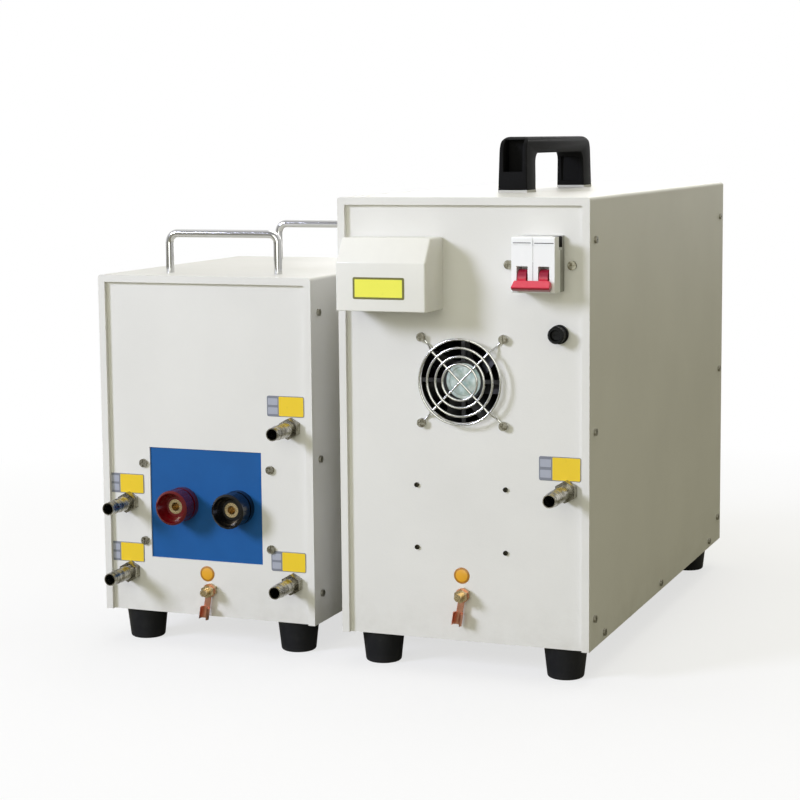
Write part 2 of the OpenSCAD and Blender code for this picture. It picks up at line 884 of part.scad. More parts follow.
module breaker_body() {
    color("whitesmoke") on_main() translate([breaker_x, 0, breaker_z]) difference() {
        along_x(-breaker_w / 2, breaker_w)
            polygon(rounded(breaker_side, [breaker_edge, breaker_edge, 0, breaker_edge, 0, 0,
                breaker_edge, 0]));
        for (s = [-1, 1])
            block(s * pole_w / 2 - toggle_slot_w / 2, s * pole_w / 2 + toggle_slot_w / 2,
                breaker_front - overrun,
                breaker_front + toggle_slot_deep, -toggle_drop - toggle_slot_h / 2,
                    -toggle_drop + toggle_slot_h / 2);
        rod_x(-pole_w / 2 - toggle_slot_w / 2 - toggle_pin_over,
            pole_w / 2 + toggle_slot_w / 2 + toggle_pin_over,
            toggle_y, -toggle_drop, toggle_pin_d + 2 * snug);
        block(-breaker_groove_w / 2, breaker_groove_w / 2, breaker_front - overrun,
            breaker_front + breaker_groove_deep, -nose_h, nose_h);
        for (s = [-1, 1]) translate([s * breaker_w / 2, 0, nose_h / 2])
            block(-breaker_pocket_w, breaker_pocket_w, breaker_pocket_y,
                breaker_pocket_y + breaker_pocket_len, -breaker_pocket_h, overrun);
        block(-breaker_w, breaker_w, breaker_front - overrun, breaker_front + breaker_groove_deep,
            nose_h / 2 - breaker_rule_drop - breaker_groove_w, nose_h / 2 - breaker_rule_drop);
    }
}

module breaker_toggle() {
    hub_x = pole_w / 2;
    color("#c8243c") on_main() translate([breaker_x, toggle_y, toggle_z]) rotate([toggle_rest, 0, 0]) {
        rod_x(-hub_x - toggle_slot_w / 2 - toggle_pin_over + snug,
            hub_x + toggle_slot_w / 2 + toggle_pin_over - snug,
            0, 0, toggle_pin_d);
        intersection() {
            along_x(-breaker_w, 2 * breaker_w) polygon(rounded(toggle_wedge, toggle_wedge_rs));
            along_y(-breaker_w, breaker_w) polygon(rounded(toggle_face, toggle_face_rs));
        }
        for (s = [-1, 1]) {
            rod_x(s * hub_x - toggle_arm_w / 2, s * hub_x + toggle_arm_w / 2, 0, 0, toggle_hub_d);
            block(s * hub_x - toggle_arm_w / 2, s * hub_x + toggle_arm_w / 2, -toggle_arm_len, 0,
                -toggle_arm_t / 2, toggle_arm_t / 2);
        }
    }
}

module breaker_bracket() {
    inner = breaker_w / 2 + bracket_gap;
    color("silver") on_main() translate([bracket_x, 0, bracket_z]) difference() {
        union() {
            for (s = [-1, 1]) {
                block(min(s * inner, s * (inner + sheet_t)), max(s * inner, s * (inner + sheet_t)),
                    panel_back, breaker_deep + sheet_t, -bracket_h / 2, bracket_h / 2);
                block(min(s * inner, s * (inner + bracket_foot)),
                    max(s * inner, s * (inner + bracket_foot)),
                    panel_back, panel_back + sheet_t, -bracket_h / 2, bracket_h / 2);
            }
            block(-inner, inner, breaker_deep, breaker_deep + sheet_t, -rail_h / 2, rail_h / 2);
        }
        for (s = [-1, 1])
            rod_y(s * bracket_screw_off, 0, panel_back - overrun, panel_back + sheet_t + overrun,
                m4_d + 2 * snug);
    }
}

// Fuse holder
fuse_front = recess - fuse_flange_t;
fuse_tail = recess + fuse_barrel_len;

module fuse_holder() {
    color("#161616") on_main() difference() {
        union() {
            rod_y(fuse_x, fuse_z, fuse_front, recess, fuse_flange_d);
            rod_y(fuse_x, fuse_z, recess - overrun, fuse_tail, fuse_barrel_d);
            rod_y(fuse_x, fuse_z, panel_back, panel_back + fuse_nut_t, fuse_nut_d);
            block(fuse_x - fuse_tag_w / 2, fuse_x + fuse_tag_w / 2, fuse_tail - overrun,
                fuse_tail + fuse_tag_len,
                fuse_z - fuse_tag_t / 2, fuse_z + fuse_tag_t / 2);
        }
        rod_y(fuse_x, fuse_z, fuse_front - overrun, fuse_tail - fuse_flange_t, fuse_bore_d);
    }
}

// The cap's back recess takes the front of the carrier, and a slot crosses the floor of its dish
module fuse_cap() {
    r = fuse_cap_d / 2;
    dish = r - fuse_cap_rim;
    sink = fuse_carrier_d / 2 + snug;
    color("#161616") on_main() translate([fuse_x, fuse_front - snug, fuse_z]) difference() {
        rotate([90, 0, 0]) rotate_extrude()
            polygon([[0, fuse_cap_sink], [sink, fuse_cap_sink], [sink, 0], [r, 0],
            [r, fuse_cap_len - fuse_cap_edge], [r - fuse_cap_edge, fuse_cap_len], [dish, fuse_cap_len],
            [dish - fuse_cap_edge, fuse_cap_len - fuse_cap_dish], [0, fuse_cap_len - fuse_cap_dish]]);
        block(-dish / 2, dish / 2, -fuse_cap_len, fuse_cap_dish + fuse_cap_edge - fuse_cap_len,
            -fuse_slot_w / 2, fuse_slot_w / 2);
        for (i = [0:fuse_grips - 1]) rotate([0, i * 360 / fuse_grips, 0])
            rod_y(r + fuse_grip_d / 2 - fuse_grip_deep, 0, 2 * fuse_cap_edge - fuse_cap_len, overrun,
                fuse_grip_d);
    }
}

fuse_carrier_front = fuse_front - fuse_cap_sink;

module fuse_carrier() {
    color("silver") on_main() difference() {
        rod_y(fuse_x, fuse_z, fuse_carrier_front, fuse_carrier_front + fuse_carrier_len, fuse_carrier_d);
        rod_y(fuse_x, fuse_z, fuse_carrier_front + fuse_carrier_wall, fuse_tail,
            fuse_carrier_d - 2 * fuse_carrier_wall);
    }
}

module fuse_link() {
    y0 = fuse_carrier_front + fuse_carrier_wall;
    color("lightgray") on_main() {
        rod_y(fuse_x, fuse_z, y0, y0 + fuse_link_len, fuse_link_d - 2 * fuse_end_over);
        rod_y(fuse_x, fuse_z, y0, y0 + fuse_end_len, fuse_link_d);
        rod_y(fuse_x, fuse_z, y0 + fuse_link_len - fuse_end_len, y0 + fuse_link_len, fuse_link_d);
    }
}

// Cooling fan, in the frame of its own centre with zero at the back of the panel
module on_fan() { on_main() translate([main_w / 2, panel_back, fan_z]) children(); }

module fan_outline() {
    s = fan_size / 2;
    polygon(rounded(box_pts(-s, -s, s, s), [for (i = [0:3]) fan_corner_r]));
}

module fan_frame() {
    color("#141414") on_fan() {
        difference() {
            union() {
                for (y0 = [0, fan_depth - fan_plate_t]) along_y(y0, fan_plate_t) fan_outline();
                rod_y(0, 0, 0, fan_depth, fan_bore_d + 2 * fan_wall);
            }
            rod_y(0, 0, -overrun, fan_depth + overrun, fan_bore_d);
            four(fan_pitch, fan_pitch) rod_y(0, 0, -overrun, fan_depth + overrun, m4_hole_d);
        }
        difference() {
            union() {
                rod_y(0, 0, 0, fan_cup_t, fan_hub_d);
                for (i = [0:fan_struts - 1]) rotate([0, 360 * i / fan_struts, 0])
                    block(0, fan_bore_d / 2 + fan_wall / 2, 0, fan_cup_t, -fan_strut_w / 2,
                        fan_strut_w / 2);
                rod_y(0, 0, 0, fan_depth - 2 * fan_plate_t, fan_bush_d);
                rod_y(0, 0, 2 * fan_cup_t, 2 * fan_cup_t + fan_coil_len, fan_coil_d);
            }
            rod_y(0, 0, fan_cup_t / 2, fan_depth, fan_shaft_d + 2 * snug);
        }
    }
}

blade_y0 = fan_cup_t + fan_gap;
blade_y1 = fan_depth - fan_gap;
blade_tip = fan_bore_d / 2 - fan_tip_gap;

// Section of a blade, an arc of even thickness made of short flats
function blade_section(chord) = let (turn = asin(chord * blade_share / 2 / blade_r))
    concat([for (i = [0:blade_steps]) arc_point(blade_r + blade_t / 2, turn * (1 - 2 * i / blade_steps))],
        [for (i = [blade_steps:-1:0]) arc_point(blade_r - blade_t / 2, turn * (1 - 2 * i / blade_steps))]);
function arc_point(r, turn) = [r * sin(turn), r * cos(turn)];

module fan_blade() {
    chord = (blade_y1 - blade_y0) / cos(blade_pitch);
    intersection() {
        difference() {
            rod_y(0, 0, blade_y0, blade_y1, 2 * blade_tip);
            rod_y(0, 0, blade_y0 - overrun, blade_y1 + overrun, fan_hub_d - fan_shell_t);
        }
        translate([0, (blade_y0 + blade_y1) / 2, 0]) rotate([blade_pitch, 0, 0])
            translate([0, 0, -blade_r]) rotate([90, 0, 90])
            linear_extrude(blade_tip + overrun) polygon(blade_section(chord));
    }
}

module fan_rotor() {
    color("#202020") on_fan() {
        difference() {
            rod_y(0, 0, blade_y0, blade_y1, fan_hub_d);
            rod_y(0, 0, blade_y0 - overrun, blade_y1 - fan_shell_t, fan_hub_d - 2 * fan_shell_t);
        }
        rod_y(0, 0, fan_cup_t, blade_y1 - snug, fan_shaft_d);
        for (i = [0:fan_blades - 1]) rotate([0, 360 * i / fan_blades, 0]) fan_blade();
    }
}

module ring_y(y, r, wire) {
    translate([0, y, 0]) rotate([90, 0, 0]) rotate_extrude() translate([r, 0]) circle(d = wire, $fn = 16);
}

// Rings welded on two crossed wires, bent back to the panel and looped round the fan's screws
module fan_guard() {
    reach = fan_pitch / sqrt(2);
    loop_r = (m4_d + guard_wire) / 2 + snug;
    y_foot = -sheet_t - guard_wire / 2 - snug;
    y_wire = y_foot - guard_bulge;
    rise = norm([guard_foot_r - guard_r, guard_bulge]);
    color("silver") on_fan() {
        for (share = guard_ring_shares)
            ring_y(y_wire - guard_wire * guard_weld_share, guard_r * share, guard_wire);
        for (a = [45, 135]) rotate([0, a, 0]) rod_x(-guard_r, guard_r, y_wire, 0, guard_wire);
        for (a = [45:90:315]) rotate([0, a, 0]) {
            for (p = [[guard_r, y_wire], [guard_foot_r, y_foot]])
                translate([p[0], p[1], 0]) sphere(d = guard_wire);
            translate([guard_r, y_wire, 0]) rotate([0, 0, atan2(guard_bulge, guard_foot_r - guard_r)])
                rod_x(0, rise, 0, 0, guard_wire);
            rod_x(guard_foot_r, reach - loop_r, y_foot, 0, guard_wire);
            translate([reach, 0, 0]) ring_y(y_foot, loop_r, guard_wire);
        }
    }
}

// Screws on the two connection side panels
module panel_screws() {
    guard_seat = recess - guard_wire - 2 * snug;
    color("gray") {
        on_main() {
            translate([main_w / 2, 0, fan_z]) four(fan_pitch, fan_pitch)
                pan_screw_y(0, 0, guard_seat, m4_d, m4_head_d, m4_head_t, fan_depth);
            for (s = [-1, 1])
                pan_screw_y(bracket_x + s * bracket_screw_off, bracket_z, recess, m4_d, m4_head_d,
                    m4_head_t, screw_len);
            translate([filter_x, 0, filter_z]) four(filter_pitch_x, filter_pitch_z)
                pan_screw_y(0, 0, recess, m3_d, filter_head_d, filter_head_t, screw_len);
        }
        on_head() translate([iboard_x, 0, window_z]) four(iboard_screw_x, iboard_screw_z)
            pan_screw_y(0, 0, recess, m4_d, m4_head_d, m4_head_t, screw_len / 2);
    }
}

// Inside the power unit
module mains_filter() {
    color("lightsteelblue") on_main() translate([filter_x, 0, filter_z]) {
        difference() {
            along_y(panel_back, filter_deep)
                polygon(rounded(box_pts(-filter_w / 2, -filter_h / 2, filter_w / 2, filter_h / 2),
                    [for (i = [0:3]) filter_r]));
            four(filter_pitch_x, filter_pitch_z)
                rod_y(0, 0, panel_back - overrun, panel_back + screw_len, m3_d + 2 * snug);
        }
        four(filter_pitch_x, filter_pitch_z)
            rod_y(0, 0, panel_back + filter_deep - overrun, panel_back + filter_deep + filter_stud_len,
                filter_stud_d);
    }
}

plate_x = (main_w - plate_w) / 2;
plate_z = floor_z + plate_rise;

module cold_plate() {
    color("silver") on_main() translate([plate_x, plate_y, 0]) {
        block(0, plate_w, 0, plate_len, plate_z, plate_z + plate_t);
        for (x = [plate_leg_in, plate_w - plate_leg_in], y = [plate_leg_in, plate_len - plate_leg_in])
            rod_z(x, y, floor_z, plate_z + overrun, plate_leg_d);
        for (x = [plate_w / 4, plate_w * 3 / 4]) difference() {
            rod_y(x, plate_z + plate_t / 2, -plate_port_len, overrun, plate_port_d);
            rod_y(x, plate_z + plate_t / 2, -plate_port_len - overrun, overrun, plate_port_d * 3 / 5);
        }
    }
}

module transistor_modules() {
    top = plate_z + plate_t;
    color("#30343a") on_main() for (side = [0, 1]) {
        x0 = plate_x + module_in + side * (plate_w - 2 * module_in - module_w);
        y0 = plate_y + (plate_len - module_len) / 2;
        block(x0, x0 + module_w, y0, y0 + module_len, top, top + module_base_t);
        block(x0 + module_base_t / 2, x0 + module_w - module_base_t / 2, y0 + module_base_t,
            y0 + module_len - module_base_t, top + module_base_t, top + module_h);
        for (i = [1:module_tabs])
            rod_z(x0 + module_w / 2, y0 + module_len * i / (module_tabs + 1), top + module_h - overrun,
                top + module_h + module_tab_t, module_tab_d);
    }
}

module filter_capacitors() {
    color("#2f5d86") on_main() for (s = [-1, 1]) translate([main_w / 2 + s * cap_off, cap_y, 0]) {
        rod_z(0, 0, floor_z, floor_z + cap_len, cap_d);
        rod_z(0, 0, floor_z, floor_z + cap_ring_t, cap_d + 2 * cap_ring_wall);
        for (p = [-1, 1])
            rod_z(p * cap_d / 5, 0, floor_z + cap_len - overrun, floor_z + cap_len + cap_post_len,
                cap_post_d);
    }
}

// Board on posts behind the control side, with the power knob's potentiometer above it
module control_board() {
    color("darkgreen") on_main() far_side(main_d) {
        translate([main_w / 2, 0, board_z]) {
            block(-board_w / 2, board_w / 2, board_off + panel_back, board_off + panel_back + board_t,
                -board_h / 2, board_h / 2);
            four(board_w - 2 * board_post_in, board_h - 2 * board_post_in)
                rod_y(0, 0, panel_back, panel_back + board_off + overrun, board_post_d);
            for (x = [-board_w / 4, board_w / 5])
                block(x, x + board_chip, board_off + panel_back + board_t - overrun / 2,
                    board_off + panel_back + board_t + board_chip_t, -board_h / 3,
                        board_chip - board_h / 3);
        }
        difference() {
            union() {
                rod_y(main_w / 2, knob_z, panel_back, panel_back + pot_deep, pot_d);
                rod_y(main_w / 2, knob_z, recess - overrun / 2, panel_back + overrun, pot_bush_d);
            }
            rod_y(main_w / 2, knob_z, recess - overrun, recess + knob_shaft_len, knob_shaft_d + 2 * snug);
        }
    }
}

// Control side
module display_bezel() {
    w = display_w / 2;
    h = display_h / 2;
    color("#1b1b1b") on_main() far_side(main_d) translate([main_w / 2, 0, display_z]) difference() {
        along_y(recess - display_proud, display_proud)
            polygon(rounded(box_pts(-w, -h, w, h), [for (i = [0:3]) display_r]));
        block(-w + display_rim, w - display_rim, -display_proud, 2 * recess, -h + display_rim,
            h - display_rim);
    }
}

module display_window() {
    w = display_w / 2 - display_rim;
    h = display_h / 2 - display_rim;
    color("maroon") on_main() far_side(main_d) translate([main_w / 2, 0, display_z])
        block(-w, w, recess - display_proud + window_back, panel_back, -h, h);
}

module power_knob() {
    knob_back = recess - knob_gap;
    color("#1b1b1b") on_main() far_side(main_d) translate([main_w / 2, 0, knob_z]) difference() {
        union() {
            rod_y(0, 0, knob_back - knob_skirt_t, knob_back, knob_skirt_d);
            rod_y(0, 0, knob_back - knob_h, knob_back - knob_skirt_t + overrun, knob_d);
            rod_y(0, 0, knob_back - overrun, knob_back + knob_shaft_len, knob_shaft_d);
        }
        for (i = [0:knob_grips - 1]) rotate([0, i * 360 / knob_grips, 0])
            rod_y(knob_d / 2 + knob_grip_d / 4, 0, knob_back - knob_h - overrun, knob_back - knob_skirt_t,
                knob_grip_d);
        block(-knob_mark_w / 2, knob_mark_w / 2, knob_back - knob_h - overrun,
            knob_back - knob_h + knob_mark_w / 2,
            knob_d / 6, knob_d / 2);
    }
}

module button_housings() {
    color("#26282b") on_main() far_side(main_d) for (s = [-1, 1])
        translate([main_w / 2 + s * button_off, 0, button_z])
        difference() {
            union() {
                rod_y(0, 0, recess - button_rim_t, recess, button_rim_d);
                rod_y(0, 0, recess - overrun, recess + button_barrel_len, button_barrel_d);
                rod_y(0, 0, panel_back, panel_back + button_rim_t, button_rim_d);
            }
            rod_y(0, 0, -recess, recess + button_floor, button_d + 2 * slack);
            rod_y(0, 0, recess, recess + button_barrel_len - button_rim_t, button_stem_d + 2 * snug);
        }
}

module push_button(side) {
    travel_room = button_floor / 2;
    on_main() far_side(main_d) translate([main_w / 2 + side * button_off, 0, button_z]) {
        rod_y(0, 0, recess - button_cap_out, recess + travel_room, button_d);
        rod_y(0, 0, recess, recess + button_barrel_len - button_rim_t - travel_room, button_stem_d);
    }
}

module start_button() { color("green") push_button(-1); }
module stop_button() { color("red") push_button(1); }

module on_rocker() { on_main() far_side(main_d) translate([main_w / 2, 0, button_z]) children(); }
rocker_in_w = rocker_w - 2 * rocker_rim;
rocker_in_h = rocker_h - 2 * rocker_rim;

module rocker_housing() {
    color("#1b1b1b") on_rocker() difference() {
        union() {
            block(-rocker_w / 2 - rocker_rim, rocker_w / 2 + rocker_rim, recess - rocker_rim_t, recess,
                -rocker_h / 2 - rocker_rim, rocker_h / 2 + rocker_rim);
            block(-rocker_w / 2, rocker_w / 2, recess - overrun, recess + rocker_deep, -rocker_h / 2,
                rocker_h / 2);
        }
        block(-rocker_in_w / 2, rocker_in_w / 2, -recess, recess + rocker_deep - rocker_rim,
            -rocker_in_h / 2, rocker_in_h / 2);
        rod_z(0, recess + rocker_rim_t, -rocker_h / 2 + rocker_rim / 2, rocker_h / 2 - rocker_rim / 2,
            rocker_pin_d + 2 * snug);
    }
}

// A rocker with a hollowed face, held at one of its two ends
module mode_rocker() {
    half = rocker_in_w / 2 - rocker_gap;
    tall = rocker_in_h / 2 - slack;
    color("#2a2a2a") on_rocker() translate([0, recess + rocker_rim_t, 0]) {
        rotate([0, 0, rocker_tilt]) difference() {
            block(-half, half, -rocker_out - rocker_rim_t, rocker_rim_t, -tall, tall);
            rod_z(0, -rocker_swing_r - rocker_out, -rocker_h, rocker_h, 2 * rocker_swing_r);
        }
        rod_z(0, 0, -rocker_h / 2 + rocker_rim / 2 + snug, rocker_h / 2 - rocker_rim / 2 - snug,
            rocker_pin_d);
    }
}

module pedal_socket() {
    half = pedal_flange / 2;
    bore_end = recess - pedal_out + pedal_bore_deep;
    color("silver") on_main() far_side(main_d) translate([main_w / 2 - pedal_off, 0, pedal_z]) {
        difference() {
            union() {
                along_y(recess - pedal_flange_t, pedal_flange_t)
                    polygon(rounded(box_pts(-half, -half, half, half), [for (i = [0:3]) pedal_flange_t]));
                rod_y(0, 0, recess - pedal_out, panel_back + pedal_in, pedal_thread_d);
            }
            rod_y(0, 0, recess - pedal_out - overrun, bore_end, pedal_bore_d);
        }
        for (i = [0:pedal_pins - 1]) rotate([0, 45 + i * 360 / pedal_pins, 0])
            rod_y(pedal_pin_ring, 0, bore_end - pedal_pin_len, bore_end + overrun, pedal_pin_d);
    }
}

module output_studs() {
    color("goldenrod") on_main() far_side(main_d) for (s = [-1, 1])
        translate([main_w / 2 + s * output_pitch / 2, 0, output_z]) {
        rod_y(0, 0, recess - output_out, panel_back + output_in, output_d);
        for (y0 = [recess - output_bush_t, panel_back]) rod_y(0, 0, y0, y0 + output_bush_t, output_bush_d);
        hex_y(0, 0, recess - output_bush_t - output_nut_t, recess - output_bush_t, output_nut_af);
        hex_y(0, 0, panel_back + output_bush_t, panel_back + output_bush_t + output_nut_t, output_nut_af);
    }
}

// Water fittings, along the line away from the panel
function barb_outline(reach) = let (start = reach - barb_nose - barb_rings * barb_pitch)
    concat([[barb_bore / 2, 0], [stem_d / 2, 0]],
        [for (i = [0:barb_rings - 1]) each [[stem_d / 2, start + i * barb_pitch],
            [barb_d / 2, start + i * barb_pitch], [barb_d / 2, start + i * barb_pitch + barb_crest],
            [stem_d / 2, start + (i + 1) * barb_pitch]]],
        [[stem_d / 2, reach], [barb_bore / 2, reach]]);

module hose_barb(x, z, reach) {
    translate([x, recess, z]) {
        rotate([90, 0, 0]) rotate_extrude() polygon(barb_outline(reach));
        difference() {
            union() {
                hex_y(0, 0, -hex_t, 0, hex_af);
                rod_y(0, 0, -overrun, fitting_inside, fitting_thread_d);
                hex_y(0, 0, sheet_t, sheet_t + fitting_nut_t, hex_af);
            }
            rod_y(0, 0, -hex_t - overrun, fitting_inside + overrun, barb_bore);
        }
    }
}

module hose_barbs() {
    color("silver") {
        on_main() hose_barb(main_barb_x, main_barb_z, main_barb_reach);
        on_main() far_side(main_d) hose_barb(main_barb_x, main_barb_z, main_barb_reach);
        on_head() {
            hose_barb(head_w - head_barb_right_in, head_barb_top_z, head_barb_reach);
            hose_barb(head_w - head_barb_right_in, head_barb_low_z, head_barb_reach);
            hose_barb(head_barb_left_in, head_barb_left_z, head_barb_reach);
            hose_barb(head_barb_left_in, head_barb_low_z, head_barb_reach);
        }
    }
}

module earth_studs() {
    color("goldenrod") {
        on_main() earth_stud(earth_main_x, earth_main_z);
        on_head() earth_stud(earth_head_x, earth_head_z);
    }
}

module earth_stud(x, z) {
    translate([x, 0, z]) {
        rod_y(0, 0, recess - earth_out, panel_back + earth_in, earth_d);
        hex_y(0, 0, panel_back, panel_back + earth_nut_t, earth_nut_af);
        hex_y(0, 0, lug_back, recess, earth_nut_af);
        hex_y(0, 0, lug_back - lug_t - earth_nut_t, lug_back - lug_t, earth_nut_af);
    }
}

module earth_lugs() {
    color("#b8703f") {
        on_main() earth_lug(earth_main_x, earth_main_z);
        on_head() earth_lug(earth_head_x, earth_head_z);
    }
}

// A flat eye with a neck and an open crimp barrel hanging below it
module earth_lug(x, z) {
    barrel_top = -lug_len;
    translate([x, 0, z]) rotate([0, lug_tilt, 0]) {
        along_y(lug_back - lug_t, lug_t) difference() {
            union() {
                circle(d = lug_eye_d);
                translate([-lug_neck_w / 2, -lug_len]) square([lug_neck_w, lug_len]);
            }
            circle(d = earth_d + slack);
        }
        difference() {
            rod_z(0, lug_back - lug_barrel_d / 2, barrel_top - lug_barrel_len, barrel_top + lug_t,
                lug_barrel_d);
            rod_z(0, lug_back - lug_barrel_d / 2, barrel_top - lug_barrel_len - overrun,
                barrel_top + 2 * lug_t, lug_barrel_d - 2 * lug_t);
            block(-lug_open_w / 2, lug_open_w / 2, lug_back - 2 * lug_barrel_d, lug_back - lug_barrel_d / 2,
                barrel_top - lug_barrel_len - overrun, barrel_top + 2 * lug_t);
        }
    }
}

// Heating head, cabinet
module head_cover() {
    color("ivory") on_head() difference() {
        cover_shell(head_w, head_d, head_h, head_screw_zs, head_low_ys);
        for (p = rod_places, s = [-1, 1])
            rod_z(p[0] + s * rod_pitch / 2, p[1], head_h - 3 * sheet_t, head_h + overrun, rod_d + slack);
    }
}

module head_base_tray() { color("ivory") on_head() base_tray(head_w, head_d, head_low_ys); }

module head_connection_panel() {
    color("ivory") on_head() difference() {
        end_panel(head_w, head_h);
        cover_screw_bores(head_w, head_d, head_screw_zs, []);
        foot_bores(head_w, head_d);
        through_panel() {
            translate([window_x, window_z]) square([window_w, window_h], center = true);
            translate([iboard_x, window_z]) four_flat(iboard_screw_x, iboard_screw_z) circle(d = m4_hole_d);
            for (p = [[head_w - head_barb_right_in, head_barb_top_z],
                [head_w - head_barb_right_in, head_barb_low_z],
                    [head_barb_left_in, head_barb_left_z], [head_barb_left_in, head_barb_low_z]])
                translate(p) circle(d = fitting_thread_d + slack);
            translate([earth_head_x, earth_head_z]) circle(d = earth_d + slack);
        }
    }
}

module head_output_panel() {
    color("ivory") on_head() far_side(head_d) difference() {
        end_panel(head_w, head_h);
        cover_screw_bores(head_w, head_d, head_screw_zs, []);
        foot_bores(head_w, head_d);
        through_panel() translate([head_w / 2, coil_block_z]) square(
            [coil_block_pitch + coil_block_w + coil_plate_edge, coil_block_h + coil_plate_edge],
                center = true);
    }
}

// Lifting handles, centre and distance from the connection side
rod_places = [[head_w / 2, rod_in_y], [head_w / 2 + rear_rod_shift, head_d - rear_rod_in_y]];

module lifting_handle(place) {
    half = rod_pitch / 2;
    color("gainsboro") on_head() translate([place[0], place[1], head_h]) {
        rod_x(rod_bend_r - half, half - rod_bend_r, 0, rod_rise, rod_d);
        for (s = [-1, 1]) {
            rod_z(s * half, 0, -rod_tail, rod_rise - rod_bend_r, rod_d);
            translate([s * (half - rod_bend_r), 0, rod_rise - rod_bend_r]) rotate([90, 0, 0])
                rotate([0, 0, s > 0 ? 0 : 90]) rotate_extrude(angle = 90) translate([rod_bend_r, 0])
                    circle(d = rod_d);
            hex_z(s * half, 0, -sheet_t - rod_nut_t, -sheet_t, rod_nut_af);
        }
    }
}

module front_lifting_handle() { lifting_handle(rod_places[0]); }
module rear_lifting_handle() { lifting_handle(rod_places[1]); }

// Binding posts on the insulating board
post_xs = [post_x - post_pitch / 2, post_x + post_pitch / 2];
iboard_back = panel_back + iboard_t;
base_front = panel_back - post_base_t;
washer_front = base_front - post_washer_t;
cap_front = panel_back - post_reach;
dish_floor = cap_front + post_dish;

module insulating_board() {
    color("#1f5f9f") on_head() difference() {
        translate([iboard_x, 0, window_z])
            block(-iboard_w / 2, iboard_w / 2, panel_back, iboard_back, -iboard_h / 2, iboard_h / 2);
        translate([iboard_x, 0, window_z]) four(iboard_screw_x, iboard_screw_z)
            rod_y(0, 0, panel_back - overrun, iboard_back + overrun, m4_d + 2 * snug);
        for (x = post_xs) rod_y(x, window_z, panel_back - overrun, iboard_back + overrun,
            post_stud_d + slack);
    }
}

module post_base(x, tint) {
    color(tint) on_head() {
        difference() {
            rod_y(x, window_z, base_front, panel_back, post_d);
            rod_y(x, window_z, base_front - overrun, panel_back + overrun, post_stud_d + slack);
        }
        difference() {
            rod_y(x, window_z, iboard_back, iboard_back + post_bush_t, post_d);
            rod_y(x, window_z, iboard_back - overrun, iboard_back + post_bush_t + overrun,
                post_stud_d + slack);
        }
    }
}

module red_post_base() { post_base(post_xs[0], "#8c0f14"); }
module black_post_base() { post_base(post_xs[1], "#15161a"); }

// The washer keeps its turn while the cap is screwed, and travels with it
module post_washer(x) {
    color("silver") on_head() difference() {
        rod_y(x, window_z, washer_front, base_front, post_washer_d);
        rod_y(x, window_z, washer_front - overrun, base_front + overrun, post_stud_d + 2 * snug);
    }
}

module red_post_washer() { post_washer(post_xs[0]); }
module black_post_washer() { post_washer(post_xs[1]); }

// A fluted cap with a deep dish, in whose floor the stud's end shows
module post_cap(x, tint) {
    rim = post_d / 2 - post_rim;
    hole = post_stud_d / 2 + snug;
    depth = washer_front - cap_front;
    color(tint) on_head() translate([x, washer_front, window_z]) difference() {
        rotate([90, 0, 0]) rotate_extrude() polygon([[hole, 0], [post_d / 2 - post_edge / 2, 0],
            [post_d / 2, post_edge / 2], [post_d / 2, depth - post_edge], [rim + post_edge / 3, depth],
            [rim, depth], [rim - post_rim, depth - post_dish / 2], [hole + post_rim, depth - post_dish],
            [hole, depth - post_dish]]);
        for (i = [0:post_flutes - 1]) rotate([0, 360 * i / post_flutes, 0])
            rod_y(post_d / 2 + post_flute_d / 2 - post_flute_deep, 0, -depth + 2 * post_edge, overrun,
                post_flute_d);
    }
}

module red_post_cap() { post_cap(post_xs[0], "#a3161c"); }
module black_post_cap() { post_cap(post_xs[1], "#191a1e"); }

module post_studs() {
    tail = iboard_back + post_bush_t;
    color("goldenrod") on_head() for (x = post_xs) {
        difference() {
            rod_y(x, window_z, dish_floor, tail + post_tail, post_stud_d);
            rod_y(x, window_z, dish_floor - overrun, dish_floor + post_bore_deep, post_bore);
        }
        hex_y(x, window_z, tail, tail + post_nut_t, post_nut_af);
    }
}

// Output side of the heating head
coil_back = recess + coil_block_in;

module coil_blocks() {
    color("#b87333") on_head() far_side(head_d) for (s = [-1, 1])
        translate([head_w / 2 + s * coil_block_pitch / 2, 0, coil_block_z]) difference() {
            block(-coil_block_w / 2, coil_block_w / 2, recess - coil_block_out, coil_back,
                -coil_block_h / 2, coil_block_h / 2);
            for (z = [-1, 1]) rod_y(0, z * coil_hole_pitch / 2, recess - coil_block_out - overrun, recess,
                coil_hole_d);
        }
}

module coil_insulator() {
    w = coil_block_pitch + coil_block_w + 3 * coil_plate_edge;
    h = coil_block_h + 3 * coil_plate_edge;
    color("#d9d2bd") on_head() far_side(head_d) translate([head_w / 2, 0, coil_block_z]) difference() {
        block(-w / 2, w / 2, recess - coil_plate_t, recess, -h / 2, h / 2);
        for (s = [-1, 1]) translate([s * coil_block_pitch / 2, 0, 0])
            block(-coil_block_w / 2, coil_block_w / 2, -coil_plate_t, 2 * recess, -coil_block_h / 2,
                coil_block_h / 2);
    }
}

// A closed core on its stand, with the tube turns round its near leg
module transformer_core() {
    color("#3a3a3c") on_head() translate([head_w / 2, core_y, floor_z]) {
        along_y(0, core_deep) translate([-core_w / 2, core_stand]) difference() {
            square([core_w, core_h]);
            translate([core_leg, core_leg]) square([core_w - 2 * core_leg, core_h - 2 * core_leg]);
        }
        for (s = [-1, 1])
            block(s * (core_w - core_foot_w) / 2 - core_foot_w / 2,
                s * (core_w - core_foot_w) / 2 + core_foot_w / 2,
                0, core_deep, 0, core_stand);
    }
}

